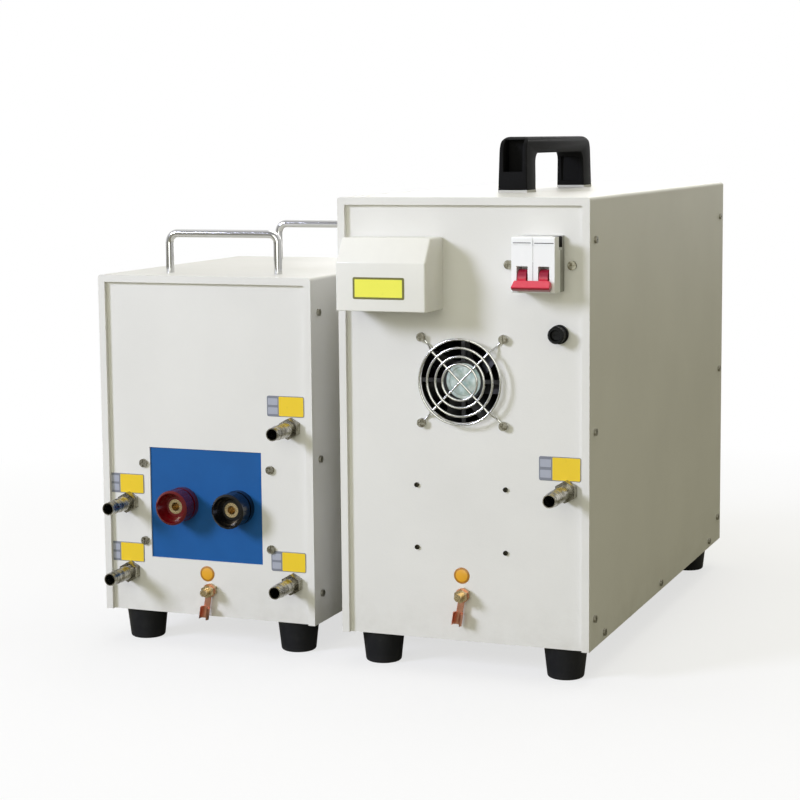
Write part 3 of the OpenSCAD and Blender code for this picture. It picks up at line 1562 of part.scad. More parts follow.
// Copper tube turns stand upright on the lower leg of the core, one behind another
module transformer_windings() {
    leg_x = (core_w - core_leg) / 2;
    step = turn_tube_d + turn_gap;
    z_mid = core_stand + core_h / 2;
    color("#b87333") on_head() translate([head_w / 2 - leg_x, core_y + core_deep / 2, floor_z + z_mid])
        for (i = [0:turns - 1]) translate([0, 0, (i - (turns - 1) / 2) * step]) turn_loop();
}

// One flat turn with rounded corners round a leg of the core
module turn_loop() {
    x = core_leg / 2 + turn_gap + turn_tube_d / 2;
    y = core_deep / 2 + turn_gap + turn_tube_d / 2;
    for (s = [-1, 1]) {
        rotate([-90, 0, 0]) translate([s * x, 0, -core_deep / 2]) cylinder(d = turn_tube_d, h = core_deep);
        rotate([0, 90, 0]) translate([0, s * y, -core_leg / 2]) cylinder(d = turn_tube_d, h = core_leg);
    }
    for (sx = [-1, 1], sy = [-1, 1]) translate([sx * core_leg / 2, sy * core_deep / 2, 0])
        rotate([0, 0, sx > 0 ? (sy > 0 ? 0 : 270) : (sy > 0 ? 90 : 180)])
            rotate_extrude(angle = 90) translate([turn_gap + turn_tube_d / 2, 0]) circle(d = turn_tube_d);
}

module resonant_capacitors() {
    color("#c9772b") on_head() for (s = [-1, 1])
        translate([head_w / 2 + s * rescap_off, rescap_y, floor_z]) {
        along_y(0, rescap_deep)
            polygon(rounded(box_pts(-rescap_w / 2, 0, rescap_w / 2, rescap_h), [0, 0, rescap_r, rescap_r]));
        rod_z(0, rescap_deep / 2, rescap_h - overrun, rescap_h + rescap_stud_len, rescap_stud_d);
    }
}

main_cover();
main_base_tray();
main_connection_panel();
main_control_panel();
rubber_feet();
carry_handle();
carry_handle_pads();
carry_handle_screws();
terminal_cover();
terminal_block();
breaker_body();
breaker_bracket();
breaker_toggle();
fuse_holder();
fuse_cap();
fuse_carrier();
fuse_link();
fan_frame();
fan_rotor();
fan_guard();
panel_screws();
mains_filter();
cold_plate();
transistor_modules();
filter_capacitors();
control_board();
display_bezel();
display_window();
power_knob();
button_housings();
start_button();
stop_button();
rocker_housing();
mode_rocker();
pedal_socket();
output_studs();
cover_screws();
foot_screws();
hose_barbs();
earth_studs();
earth_lugs();
head_cover();
head_base_tray();
head_connection_panel();
head_output_panel();
front_lifting_handle();
rear_lifting_handle();
insulating_board();
red_post_base();
black_post_base();
red_post_washer();
black_post_washer();
red_post_cap();
black_post_cap();
post_studs();
transformer_core();
transformer_windings();
coil_blocks();
coil_insulator();
resonant_capacitors();
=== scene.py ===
# Looks of the induction heating machine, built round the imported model. Lengths are in metres,
# or in millimetres where they are multiplied by MM.
import json
import math

import bmesh
import bpy
from mathutils import Matrix, Vector


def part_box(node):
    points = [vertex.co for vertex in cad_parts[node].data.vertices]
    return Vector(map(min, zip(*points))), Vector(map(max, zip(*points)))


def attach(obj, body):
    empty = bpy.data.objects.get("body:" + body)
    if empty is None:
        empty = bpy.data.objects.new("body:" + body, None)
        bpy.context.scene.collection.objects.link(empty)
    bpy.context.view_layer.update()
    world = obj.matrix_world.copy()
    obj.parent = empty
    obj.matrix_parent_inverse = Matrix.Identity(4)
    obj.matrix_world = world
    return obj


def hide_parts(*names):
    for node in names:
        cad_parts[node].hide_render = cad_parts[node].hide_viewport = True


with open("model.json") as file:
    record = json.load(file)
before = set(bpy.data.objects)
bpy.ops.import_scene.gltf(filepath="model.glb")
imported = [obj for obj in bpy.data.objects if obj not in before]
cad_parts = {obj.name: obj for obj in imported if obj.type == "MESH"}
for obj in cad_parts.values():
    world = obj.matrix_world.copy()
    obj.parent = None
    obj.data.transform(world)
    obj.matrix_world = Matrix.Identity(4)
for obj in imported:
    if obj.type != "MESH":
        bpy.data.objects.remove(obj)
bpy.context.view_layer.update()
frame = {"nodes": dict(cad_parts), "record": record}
nodes = frame["nodes"]

MM = 0.001
WHITE = (1, 1, 1, 1)

# Camera, from a fit of the lens to the edges of both cabinets
PHOTO_SIDE = 800
PHOTO_FOCAL = 1984.8
PHOTO_CENTRE = (395.33, 376.07)
SENSOR = 36.0
CAMERA_PLACE = Vector((0.66069, -1.77396, 0.44735))
CAMERA_YAW = 0.37561
CAMERA_PITCH = -0.11964
CAMERA_ROLL = -0.0096


def make_camera():
    data = bpy.data.cameras.new("camera")
    data.sensor_width = SENSOR
    data.lens = PHOTO_FOCAL / PHOTO_SIDE * SENSOR
    data.shift_x = (PHOTO_SIDE / 2 - PHOTO_CENTRE[0]) / PHOTO_SIDE
    data.shift_y = (PHOTO_CENTRE[1] - PHOTO_SIDE / 2) / PHOTO_SIDE
    camera = bpy.data.objects.new("camera", data)
    bpy.context.scene.collection.objects.link(camera)
    level = Vector((math.cos(CAMERA_YAW), math.sin(CAMERA_YAW), 0))
    ahead = Vector((-math.sin(CAMERA_YAW) * math.cos(CAMERA_PITCH),
                    math.cos(CAMERA_YAW) * math.cos(CAMERA_PITCH), math.sin(CAMERA_PITCH)))
    above = level.cross(ahead)
    across = math.cos(CAMERA_ROLL) * level + math.sin(CAMERA_ROLL) * above
    up = math.cos(CAMERA_ROLL) * above - math.sin(CAMERA_ROLL) * level
    turn = Matrix((across, up, -ahead)).transposed()
    camera.matrix_world = Matrix.Translation(CAMERA_PLACE) @ turn.to_4x4()
    bpy.context.scene.camera = camera


def srgb(red, green, blue):
    """A colour as it is written on the screen, 0 to 255, put through the standard screen curve."""
    def part(value):
        share = value / 255
        return share / 12.92 if share <= 0.04045 else ((share + 0.055) / 1.055) ** 2.4
    return (part(red), part(green), part(blue), 1.0)


def tint(colour, factor):
    return (colour[0] * factor, colour[1] * factor, colour[2] * factor, 1.0)


class Recipe:
    """Short calls that add nodes to one material, or to the world."""

    def __init__(self, name, shelf=bpy.data.materials, output="ShaderNodeOutputMaterial",
                 coordinates="Object"):
        self.owner = shelf.new(name)
        self.owner.use_nodes = True
        self.tree = self.owner.node_tree
        self.tree.nodes.clear()
        self.place = self.add("ShaderNodeTexCoord").outputs[coordinates]
        self.output = self.add(output)

    def add(self, kind, **settings):
        node = self.tree.nodes.new(kind)
        for key, value in settings.items():
            setattr(node, key, value)
        return node

    def feed(self, socket, value):
        """Links an output to the socket, or sets the socket to a plain value."""
        if isinstance(value, bpy.types.NodeSocket):
            self.tree.links.new(value, socket)
        else:
            socket.default_value = value

    def scaled(self, along_x, along_y, along_z):
        node = self.add("ShaderNodeMapping")
        self.feed(node.inputs["Vector"], self.place)
        node.inputs["Scale"].default_value = (along_x, along_y, along_z)
        return node.outputs["Vector"]

    def noise(self, per_metre, detail=3.0, rough=0.55, where=None):
        """Cloudy values from 0 to 1, with about this many clouds to a metre."""
        node = self.add("ShaderNodeTexNoise")
        self.feed(node.inputs["Vector"], where or self.place)
        node.inputs["Scale"].default_value = per_metre
        node.inputs["Detail"].default_value = detail
        node.inputs["Roughness"].default_value = rough
        return node.outputs["Fac"]

    def cells(self, per_metre):
        node = self.add("ShaderNodeTexVoronoi")
        self.feed(node.inputs["Vector"], self.place)
        node.inputs["Scale"].default_value = per_metre
        return node.outputs["Distance"]

    def bands(self, per_metre, direction):
        node = self.add("ShaderNodeTexWave", bands_direction=direction)
        self.feed(node.inputs["Vector"], self.place)
        node.inputs["Scale"].default_value = per_metre
        return node.outputs["Fac"]

    def span(self, value, low, high, to_low=0.0, to_high=1.0):
        """The value's stretch from low to high, laid over another stretch and held at its ends."""
        node = self.add("ShaderNodeMapRange", clamp=True)
        self.feed(node.inputs["Value"], value)
        node.inputs["From Min"].default_value = low
        node.inputs["From Max"].default_value = high
        node.inputs["To Min"].default_value = to_low
        node.inputs["To Max"].default_value = to_high
        return node.outputs["Result"]

    def combined(self, operation, first, second):
        node = self.add("ShaderNodeMath", operation=operation)
        self.feed(node.inputs[0], first)
        self.feed(node.inputs[1], second)
        return node.outputs[0]

    def times(self, first, second):
        return self.combined("MULTIPLY", first, second)

    def larger(self, first, second):
        return self.combined("MAXIMUM", first, second)

    def axis(self, letter):
        node = self.add("ShaderNodeSeparateXYZ")
        self.feed(node.inputs[0], self.place)
        return node.outputs[letter]

    def mixed(self, share, first, second):
        """Two colours, of which the second has this share."""
        node = self.add("ShaderNodeMix", data_type="RGBA")
        self.feed(node.inputs["Factor"], share)
        self.feed(node.inputs["A"], first)
        self.feed(node.inputs["B"], second)
        return node.outputs["Result"]

    def bump(self, height, depth, under=None, strength=1.0):
        """Relief of a depth in millimetres, on top of another relief where one is given."""
        node = self.add("ShaderNodeBump")
        self.feed(node.inputs["Height"], height)
        node.inputs["Distance"].default_value = depth * MM
        node.inputs["Strength"].default_value = strength
        if under is not None:
            self.feed(node.inputs["Normal"], under)
        return node.outputs["Normal"]

    def plain(self, kind, colour, strength=None):
        """A surface or light of one colour."""
        node = self.add(kind)
        node.inputs["Color"].default_value = colour
        if strength is not None:
            self.feed(node.inputs["Strength"], strength)
        return node.outputs[0]

    def blended(self, share, first, second):
        """Two surfaces or lights, of which the second has this share."""
        node = self.add("ShaderNodeMixShader")
        for socket, value in zip(node.inputs, (share, first, second)):
            self.feed(socket, value)
        return node.outputs[0]

    def close(self, surface):
        self.tree.links.new(surface, self.output.inputs["Surface"])
        return self.owner

    def finish(self, colour, roughness, normal=None, **constants):
        shader = self.add("ShaderNodeBsdfPrincipled")
        self.feed(shader.inputs["Base Color"], colour)
        self.feed(shader.inputs["Roughness"], roughness)
        if normal is not None:
            self.feed(shader.inputs["Normal"], normal)
        for key, value in constants.items():
            shader.inputs[key.replace("_", " ")].default_value = value
        return self.close(shader.outputs[0])


# Dust on the cabinets is fullest below the first height and gone above the second
DUST_FULL = 28 * MM
DUST_GONE = 75 * MM
DUST_COLOUR = srgb(150, 141, 120)


def powder_coat(name, colour):
    """Baked coat: fine orange peel, faint cloudiness, and dust that gathers low down."""
    r = Recipe(name)
    cloud = r.span(r.noise(9.0, 4.0), 0.35, 0.68)
    toned = r.mixed(cloud, tint(colour, 0.965), tint(colour, 1.015))
    speck = r.span(r.noise(420.0, 2.0), 0.70, 0.82)
    toned = r.mixed(r.times(speck, 0.10), toned, tint(colour, 0.55))
    low = r.span(r.axis("Z"), DUST_FULL, DUST_GONE, 1.0, 0.0)
    dust = r.times(low, r.span(r.noise(38.0, 5.0, 0.65), 0.42, 0.72))
    toned = r.mixed(r.times(dust, 0.16), toned, DUST_COLOUR)
    scuff = r.span(r.noise(14.0, 6.0, 0.7, r.scaled(1.0, 1.0, 7.0)), 0.66, 0.74)
    rough = r.span(scuff, 0.0, 1.0, 0.42, 0.58)
    peel = r.bump(r.noise(620.0, 2.0, 0.45), 0.06)
    peel = r.bump(r.noise(70.0, 2.0), 0.2, peel, 0.35)
    return r.finish(toned, rough, peel, Specular_IOR_Level=0.32)


def moulded(name, colour, roughness, grain=1500.0, depth=0.02, vary=0.08, coat=0.0, wear=0.0,
            shine=0.5):
    """Moulded plastic: a fine grain, a little cloudiness, and rubbed places where asked."""
    r = Recipe(name)
    cloud = r.span(r.noise(45.0, 4.0, 0.6), 0.3, 0.7)
    toned = r.mixed(cloud, tint(colour, 1.0 - vary), tint(colour, 1.0 + vary))
    rubbed = r.span(r.noise(160.0, 5.0, 0.7), 0.60, 0.72)
    if wear > 0:
        light = tuple(min(1.0, part * 1.6 + 0.03) for part in colour[:3]) + (1.0,)
        toned = r.mixed(r.times(rubbed, wear), toned, light)
    rough = r.span(rubbed, 0.0, 1.0, roughness, min(0.95, roughness * 1.22))
    grained = r.bump(r.noise(grain, 2.0, 0.5), depth)
    return r.finish(toned, rough, grained, Coat_Weight=coat, Coat_Roughness=0.12,
                    Specular_IOR_Level=shine)


def metal(name, colour, roughness, stain=0.12, stain_colour=None, lines=None):
    """Bare or plated metal with stains, brushed where lines says how close the strokes lie by axis."""
    r = Recipe(name)
    patch = r.span(r.noise(120.0, 5.0, 0.65), 0.38, 0.70)
    toned = r.mixed(r.times(patch, stain), colour, stain_colour or tint(colour, 0.45))
    if lines:
        streak = r.noise(1.0, 3.0, 0.6, r.scaled(*lines))
    else:
        streak = r.noise(900.0, 3.0, 0.6)
    rough = r.span(streak, 0.25, 0.75, roughness * 0.75, roughness * 1.3)
    return r.finish(toned, rough, r.bump(streak, 0.01), Metallic=1.0)


def plated_barb(name):
    """Nickel plate with painted dark reflections in patches and painted shade in bands along its
    grooves.
    """
    r = Recipe(name)
    # Painted reflection: patches of dark reflection laid into the plating's colour
    patch = r.span(r.noise(150.0, 2.0, 0.5), 0.34, 0.72)
    toned = r.mixed(patch, srgb(202, 199, 188), srgb(112, 106, 88))
    # Painted shade in bands along Y, standing for the grooves between the rings
    painted_groove_shade = r.span(r.bands(78.0, "Y"), 0.55, 0.95, 0.0, 0.4)
    toned = r.mixed(painted_groove_shade, toned, srgb(66, 62, 52))
    streak = r.noise(900.0, 3.0, 0.6)
    rough = r.span(streak, 0.25, 0.75, 0.2, 0.34)
    return r.finish(toned, rough, r.bump(streak, 0.02), Metallic=1.0)


# The mains filter's screws are the panel screws to the right of one line and below another
FILTER_RIGHT_OF = 0.0
FILTER_BELOW = 190 * MM
FILTER_FADE = 10 * MM


def panel_screw_metal(name):
    """Zinc plated screws, of which the four that hold the mains filter are blackened."""
    r = Recipe(name)
    patch = r.span(r.noise(420.0, 4.0, 0.65), 0.42, 0.62, 0.0, 0.85)
    zinc = r.mixed(patch, srgb(168, 165, 150), srgb(88, 80, 56))
    dark = r.mixed(patch, srgb(52, 52, 46), srgb(84, 78, 62))
    right = r.span(r.axis("X"), FILTER_RIGHT_OF, FILTER_RIGHT_OF + FILTER_FADE)
    low = r.span(r.axis("Z"), FILTER_BELOW, FILTER_BELOW + FILTER_FADE, 1.0, 0.0)
    toned = r.mixed(r.times(right, low), zinc, dark)
    scored = r.noise(900.0, 3.0, 0.6)
    rough = r.span(scored, 0.3, 0.7, 0.28, 0.45)
    return r.finish(toned, rough, r.bump(scored, 0.01), Metallic=1.0)


# The breaker's case in millimetres: height of its nose, depth where painted shade along its right
# side begins and is full, and the clip recess, painted dark as shade, as its depth in from the right
# side, its stretch back from the nose's face and its stretch down from the nose's top
NOSE_HEIGHT = 44.5
SIDE_SHADE_DEPTHS = (15.0, 15.8)
CLIP_IN = 6.2
CLIP_BACK = (11.7, 21.3)
CLIP_DOWN = (9.0, -1.0)
CASE_FADE = 0.2


def breaker_case(name):
    """White plastic, with painted shade along the back of its right side and in the clip recess at the
    top right.
    """
    r = Recipe(name)
    low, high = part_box("breaker_body")
    right = high.x
    top = low.z + (high.z - low.z + NOSE_HEIGHT * MM) / 2
    side = r.span(r.axis("X"), right - CASE_FADE * MM, right - CASE_FADE / 2 * MM)
    # Painted shade on the right side, from this depth back to the panel, for the shadow of the gap
    # beside the panel cut-out
    base = r.span(r.axis("Y"), low.y + SIDE_SHADE_DEPTHS[0] * MM, low.y + SIDE_SHADE_DEPTHS[1] * MM, 0.0, 0.78)
    case = srgb(245, 246, 245)
    cloud = r.span(r.noise(45.0, 4.0, 0.6), 0.3, 0.7)
    toned = r.mixed(cloud, tint(case, 0.985), tint(case, 1.0))
    # Painted shade: the right side turns grey towards the panel
    toned = r.mixed(r.times(side, base), toned, srgb(120, 118, 108))
    wall = right - CLIP_IN * MM
    # Painted shade: a mask over the clip recess, which is darkened as if in shadow
    inside = r.span(r.axis("X"), wall - CASE_FADE / 2 * MM, wall + CASE_FADE / 2 * MM)
    clip = (("Y", low.y + CLIP_BACK[0] * MM, low.y + CLIP_BACK[1] * MM),
            ("Z", top - CLIP_DOWN[0] * MM, top - CLIP_DOWN[1] * MM))
    for letter, first, last in clip:
        after = r.span(r.axis(letter), first, first + CASE_FADE * MM)
        before = r.span(r.axis(letter), last - CASE_FADE * MM, last, 1.0, 0.0)
        inside = r.times(inside, r.times(after, before))
    # Painted shade in the clip recess
    toned = r.mixed(inside, toned, srgb(34, 33, 28))
    return r.finish(toned, 0.42, r.bump(r.noise(1300.0, 2.0, 0.5), 0.01), Specular_IOR_Level=0.4)


# Heights on the toggle, in millimetres from its lowest point, between which its painted shade changes
PAINTED_SHADE_UNDER = (2.6, 3.6)
PAINTED_SHADE_ABOVE = (8.5, 12.5)


def toggle_plastic(name):
    """Red plastic, with painted shade below the bar's ridge and on the arms in their slots."""
    r = Recipe(name)
    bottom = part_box("breaker_toggle")[0].z
    red = srgb(212, 40, 68)
    cloud = r.span(r.noise(45.0, 4.0, 0.6), 0.3, 0.7)
    toned = r.mixed(cloud, tint(red, 0.95), tint(red, 1.05))
    # Painted shade under the bar's ridge, in deep red
    under = r.span(r.axis("Z"), bottom + PAINTED_SHADE_UNDER[0] * MM, bottom + PAINTED_SHADE_UNDER[1] * MM, 0.8, 0.0)
    toned = r.mixed(under, toned, srgb(132, 20, 30))
    # Painted shade on the arms in their slots, in dark purple red
    above = r.span(r.axis("Z"), bottom + PAINTED_SHADE_ABOVE[0] * MM, bottom + PAINTED_SHADE_ABOVE[1] * MM, 0.0, 0.7)
    toned = r.mixed(above, toned, srgb(112, 14, 44))
    grained = r.bump(r.noise(1500.0, 2.0, 0.5), 0.01)
    return r.finish(toned, 0.3, grained, Coat_Weight=0.25, Coat_Roughness=0.12)


def sticker_film(name):
    """Pale foil sticker with a cloudy sheen."""
    r = Recipe(name)
    cloud = r.span(r.noise(140.0, 4.0, 0.65), 0.35, 0.66)
    toned = r.mixed(cloud, srgb(158, 186, 178), srgb(232, 240, 238))
    return r.finish(toned, r.span(cloud, 0.0, 1.0, 0.5, 0.25), r.bump(cloud, 0.04), Coat_Weight=0.3)


RUBBER_RIM = 8 * MM


def rubber(name):
    """Foot rubber: a dull sheen, with pale dust in its pores and on its lower rim."""
    r = Recipe(name)
    pore = r.noise(700.0, 3.0, 0.6)
    dusty = r.span(r.noise(90.0, 4.0, 0.65), 0.50, 0.75, 0.0, 0.3)
    rim = r.span(r.axis("Z"), 0.0, RUBBER_RIM, 0.4, 0.0)
    toned = r.mixed(r.larger(dusty, rim), srgb(17, 18, 22), srgb(46, 46, 46))
    rough = r.span(pore, 0.3, 0.7, 0.38, 0.5)
    return r.finish(toned, rough, r.bump(pore, 0.03), Specular_IOR_Level=0.4)


def clear(name, colour):
    """Clear glass with a slight haze."""
    r = Recipe(name)
    haze = r.span(r.noise(260.0, 3.0), 0.4, 0.7, 0.03, 0.11)
    waves = r.bump(r.noise(30.0, 1.0), 0.1, None, 0.15)
    return r.finish(colour, haze, waves, Transmission_Weight=1.0, IOR=1.5)


def smoked(name, colour):
    """Tinted display window: glossy, dark, with a faint smear."""
    r = Recipe(name)
    smear = r.span(r.noise(24.0, 5.0, 0.7, r.scaled(1.0, 1.0, 3.0)), 0.45, 0.72, 0.06, 0.24)
    toned = r.mixed(smear, colour, tint(colour, 1.9))
    return r.finish(toned, smear, None, Coat_Weight=0.6, Coat_Roughness=0.05)


def wound(name, colour):
    """Enamelled strip wound in turns."""
    r = Recipe(name)
    turn = r.bands(90.0, "Z")
    toned = r.mixed(r.span(turn, 0.0, 0.35), tint(colour, 0.35), colour)
    return r.finish(toned, 0.36, r.bump(turn, 0.6), Metallic=0.85)


def circuit(name):
    """Solder mask in patches, with paler tracks between them."""
    r = Recipe(name)
    cell = r.add("ShaderNodeTexBrick", offset=0.35, squash=0.6)
    r.feed(cell.inputs["Vector"], r.place)
    cell.inputs["Scale"].default_value = 55.0
    cell.inputs["Mortar Size"].default_value = 0.012
    cell.inputs["Color1"].default_value = srgb(16, 84, 44)
    cell.inputs["Color2"].default_value = srgb(22, 98, 52)
    cell.inputs["Mortar"].default_value = srgb(60, 142, 78)
    return r.finish(cell.outputs["Color"], 0.4, r.bump(r.noise(600.0), 0.03), Coat_Weight=0.3)


def layered(name, colour, other):
    """Laminate sheet with the cells of its weave in two tones."""
    r = Recipe(name)
    weave = r.cells(900.0)
    toned = r.mixed(r.span(weave, 0.1, 0.6), colour, other)
    return r.finish(toned, 0.42, r.bump(weave, 0.03))


def printed(name, colour):
    """Printed or lacquered film: even colour with faint wear and a slight ripple."""
    r = Recipe(name)
    worn = r.span(r.noise(210.0, 5.0, 0.7), 0.60, 0.78)
    toned = r.mixed(r.times(worn, 0.28), colour, tint(colour, 0.62))
    ripple = r.bump(r.noise(55.0, 2.0), 0.1, None, 0.3)
    return r.finish(toned, 0.35, ripple, Coat_Weight=0.2)


# One material for each slot of the record
MATERIALS = {
    "cabinet_coat": powder_coat("cabinet_coat", srgb(226, 225, 219)),
    "foot_rubber": rubber("foot_rubber"),
    "handle_plastic": moulded("handle_plastic", srgb(17, 17, 17), 0.6, grain=1100.0, depth=0.03,
                              vary=0.12, wear=0.15, shine=0.06),
    "pad_plastic": moulded("pad_plastic", srgb(188, 187, 181), 0.5, grain=1300.0, vary=0.04),
    "bright_steel": metal("bright_steel", srgb(205, 205, 204), 0.18, stain=0.10),
    "ivory_plastic": moulded("ivory_plastic", srgb(231, 230, 222), 0.36, grain=1400.0, depth=0.012,
                             vary=0.02, coat=0.15),
    "black_plastic": moulded("black_plastic", srgb(8, 9, 7), 0.4, depth=0.015, vary=0.10, shine=0.2),
    "breaker_plastic": moulded("breaker_plastic", srgb(245, 246, 245), 0.4, grain=1300.0, depth=0.01,
                               vary=0.015),
    "zinc_steel": metal("zinc_steel", srgb(172, 170, 160), 0.33, stain=0.35,
                        stain_colour=srgb(120, 108, 74)),
    "toggle_red": toggle_plastic("toggle_red"),
    "fuse_glass": clear("fuse_glass", (0.93, 0.97, 0.95, 1.0)),
    "fan_plastic": moulded("fan_plastic", srgb(17, 17, 18), 0.42, grain=1200.0, vary=0.12, wear=0.1),
    "guard_wire": metal("guard_wire", srgb(226, 226, 222), 0.2),
    "filter_case": metal("filter_case", srgb(178, 180, 182), 0.3, stain=0.15,
                         lines=(60.0, 60.0, 2200.0)),
    "plate_aluminium": metal("plate_aluminium", srgb(200, 203, 206), 0.34, stain=0.10,
                             lines=(2200.0, 50.0, 50.0)),
    "module_plastic": moulded("module_plastic", srgb(44, 44, 46), 0.5),
    "capacitor_sleeve": moulded("capacitor_sleeve", srgb(38, 62, 118), 0.3, grain=900.0, depth=0.01,
                                vary=0.06, coat=0.2),
    "board_green": circuit("board_green"),
    "display_red": smoked("display_red", srgb(72, 10, 12)),
    "knob_plastic": moulded("knob_plastic", srgb(26, 26, 27), 0.4, grain=1300.0, depth=0.03,
                            vary=0.1, wear=0.2),
    "button_green": moulded("button_green", srgb(36, 142, 72), 0.3, depth=0.01, vary=0.05, coat=0.3),
    "button_red": moulded("button_red", srgb(190, 34, 32), 0.3, depth=0.01, vary=0.05, coat=0.3),
    "stud_brass": metal("stud_brass", srgb(222, 202, 160), 0.27, stain=0.35,
                        stain_colour=srgb(128, 94, 54)),
    "barb_nickel": plated_barb("barb_nickel"),
    "copper": metal("copper", srgb(224, 164, 136), 0.34, stain=0.3, stain_colour=srgb(120, 58, 40)),
    "handle_chrome": metal("handle_chrome", srgb(214, 214, 213), 0.12, stain=0.06),
    "board_blue": moulded("board_blue", srgb(18, 86, 150), 0.5, grain=1200.0, depth=0.01, vary=0.05,
                          shine=0.25),
    "post_red": moulded("post_red", srgb(94, 3, 10), 0.2, depth=0.004, vary=0.06, coat=0.3),
    "post_black": moulded("post_black", srgb(6, 6, 9), 0.2, depth=0.004, vary=0.06, coat=0.2),
    "core_ferrite": moulded("core_ferrite", srgb(62, 62, 64), 0.66, grain=500.0, depth=0.06,
                            vary=0.12),
    "insulator_sheet": layered("insulator_sheet", srgb(206, 190, 146), srgb(188, 168, 120)),
    "resonant_case": moulded("resonant_case", srgb(172, 106, 42), 0.32, grain=1200.0, depth=0.01,
                             vary=0.06, coat=0.2),
}

# Nodes that look different from the rest of their slot
OWN_MATERIALS = {
    "panel_screws": panel_screw_metal("panel_screw_metal"),
    "breaker_body": breaker_case("breaker_case"),
    "transformer_windings": wound("transformer_windings", srgb(196, 116, 78)),
}

LABEL_GREY = printed("label_grey", srgb(126, 130, 140))
LABEL_PALE = printed("label_pale", srgb(166, 170, 182))
SEAM_GREY = printed("seam_grey", srgb(150, 148, 146))
LABEL_YELLOW = printed("label_yellow", srgb(236, 202, 40))
LABEL_LEMON = printed("label_lemon", srgb(240, 238, 84))
LABEL_OLIVE = printed("label_olive", srgb(112, 110, 54))
DISC_AMBER = printed("disc_amber", srgb(225, 165, 40))
DISC_RIM = printed("disc_rim", srgb(170, 115, 25))
STICKER = sticker_film("sticker")
STICKER_RING = printed("sticker_ring", srgb(150, 165, 158))
DARK_LINE = printed("dark_line", srgb(70, 68, 70))
SCALE_WHITE = printed("scale_white", srgb(224, 224, 220))
SCALE_DARK = printed("scale_dark", srgb(34, 36, 40))
SEGMENT = printed("segment", srgb(112, 30, 30))


def dress_nodes():
    for part in frame["record"]["subparts"]:
        data = nodes[part["node"]].data
        data.materials.clear()
        data.materials.append(OWN_MATERIALS.get(part["node"]) or MATERIALS[part["material_slot"]])


# Places in each cabinet are counted in millimetres from its lowest left corner of sheet, inward
# from the connection side or, for main_far, from the control side
main_low, main_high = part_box("main_cover")
head_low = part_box("head_cover")[0]

# How far the face of each panel lies in from its cover's edge
FACE_Y = 4.0


def main_at(x, y, z):
    return main_low + Vector((x, y, z)) * MM


def head_at(x, y, z):
    return head_low + Vector((x, y, z)) * MM


def main_far(x, y, z):
    return Vector((main_low.x + x * MM, main_high.y - y * MM, main_low.z + z * MM))


def out_from(place, distance):
    """A place that many millimetres out from the connection side."""
    return place + Vector((0, -distance * MM, 0))


SMOOTH_ANGLE = 35


def add_mesh(name, points, faces, material, body, slot, smooth=False):
    data = bpy.data.meshes.new(name)
    data.from_pydata([tuple(p) for p in points], [], faces)
    data.materials.append(material)
    made = bpy.data.objects.new(name, data)
    bpy.context.scene.collection.objects.link(made)
    work = bmesh.new()
    work.from_mesh(data)
    bmesh.ops.recalc_face_normals(work, faces=work.faces)
    work.to_mesh(data)
    work.free()
    if smooth:
        data.shade_smooth()
        data.set_sharp_from_angle(angle=math.radians(SMOOTH_ANGLE))
    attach(made, body)
    return made


def loft(rings, closed_ends=True):
    """Points and faces of a skin over rings of the same count, its ends closed where asked."""
    count = len(rings[0])
    points = [p for ring in rings for p in ring]
    faces = []
    for level in range(len(rings) - 1):
        near = level * count
        far = near + count
        for i in range(count):
            j = (i + 1) % count
            faces.append((near + i, near + j, far + j, far + i))
    if closed_ends:
        faces.append(tuple(range(count)))
        faces.append(tuple(range((len(rings) - 1) * count, len(rings) * count)))
    return points, faces


CORNER_STEPS = 6
LEAST_CORNER = 0.02


def rounded_outline(width, height, radius):
    """Corner arcs of a rectangle, as pairs in millimetres from its middle."""
    made = []
    for corner, (sx, sz) in enumerate(((1, 1), (-1, 1), (-1, -1), (1, -1))):
        for i in range(CORNER_STEPS + 1):
            turn = math.radians(90 * (corner + i / CORNER_STEPS))
            made.append((sx * (width / 2 - radius) + radius * math.cos(turn),
                         sz * (height / 2 - radius) + radius * math.sin(turn)))
    return made


def plate(name, place, size, build, material, body="cabinets", slot="pad_plastic", outward=-1):
    """A thin plate on a wall across Y, its back at the place and its front edge bevelled.

    The size is its width and height, and the build its thickness, corner radius and bevel.
    """
    width, height = size
    thick, corner, bevel = build
    rings = []
    for out, back in ((0, 0), (thick - bevel, 0), (thick, bevel)):
        outline = rounded_outline(width - 2 * back, height - 2 * back, max(corner - back, LEAST_CORNER))
        rings.append([place + Vector((x, outward * out, z)) * MM for x, z in outline])
    return add_mesh(name, *loft(rings), material, body, slot)


def circle(place, out, radius, steps):
    """Points round an axis along Y, on the connection side."""
    turns = [2 * math.pi * i / steps for i in range(steps)]
    return [place + Vector((radius * math.cos(turn), -out, radius * math.sin(turn))) * MM
            for turn in turns]


DISC_STEPS = 48


def disc(name, place, profile, material):
    """A thin round piece on the connection side: the profile's pairs are distance out and radius."""
    rings = [circle(place, out, radius, DISC_STEPS) for out, radius in profile]
    add_mesh(name, *loft(rings), material, "cabinets", "pad_plastic", smooth=True)


# Edges that turn by more than the first angle, in degrees, are rounded. Afterwards the edges that
# turn by less than the second are shaded smooth.
SHARP_ANGLE = 38
SOFT_ANGLE = 30
WELD = 0.002 * MM
ON_SIDE = 0.05 * MM


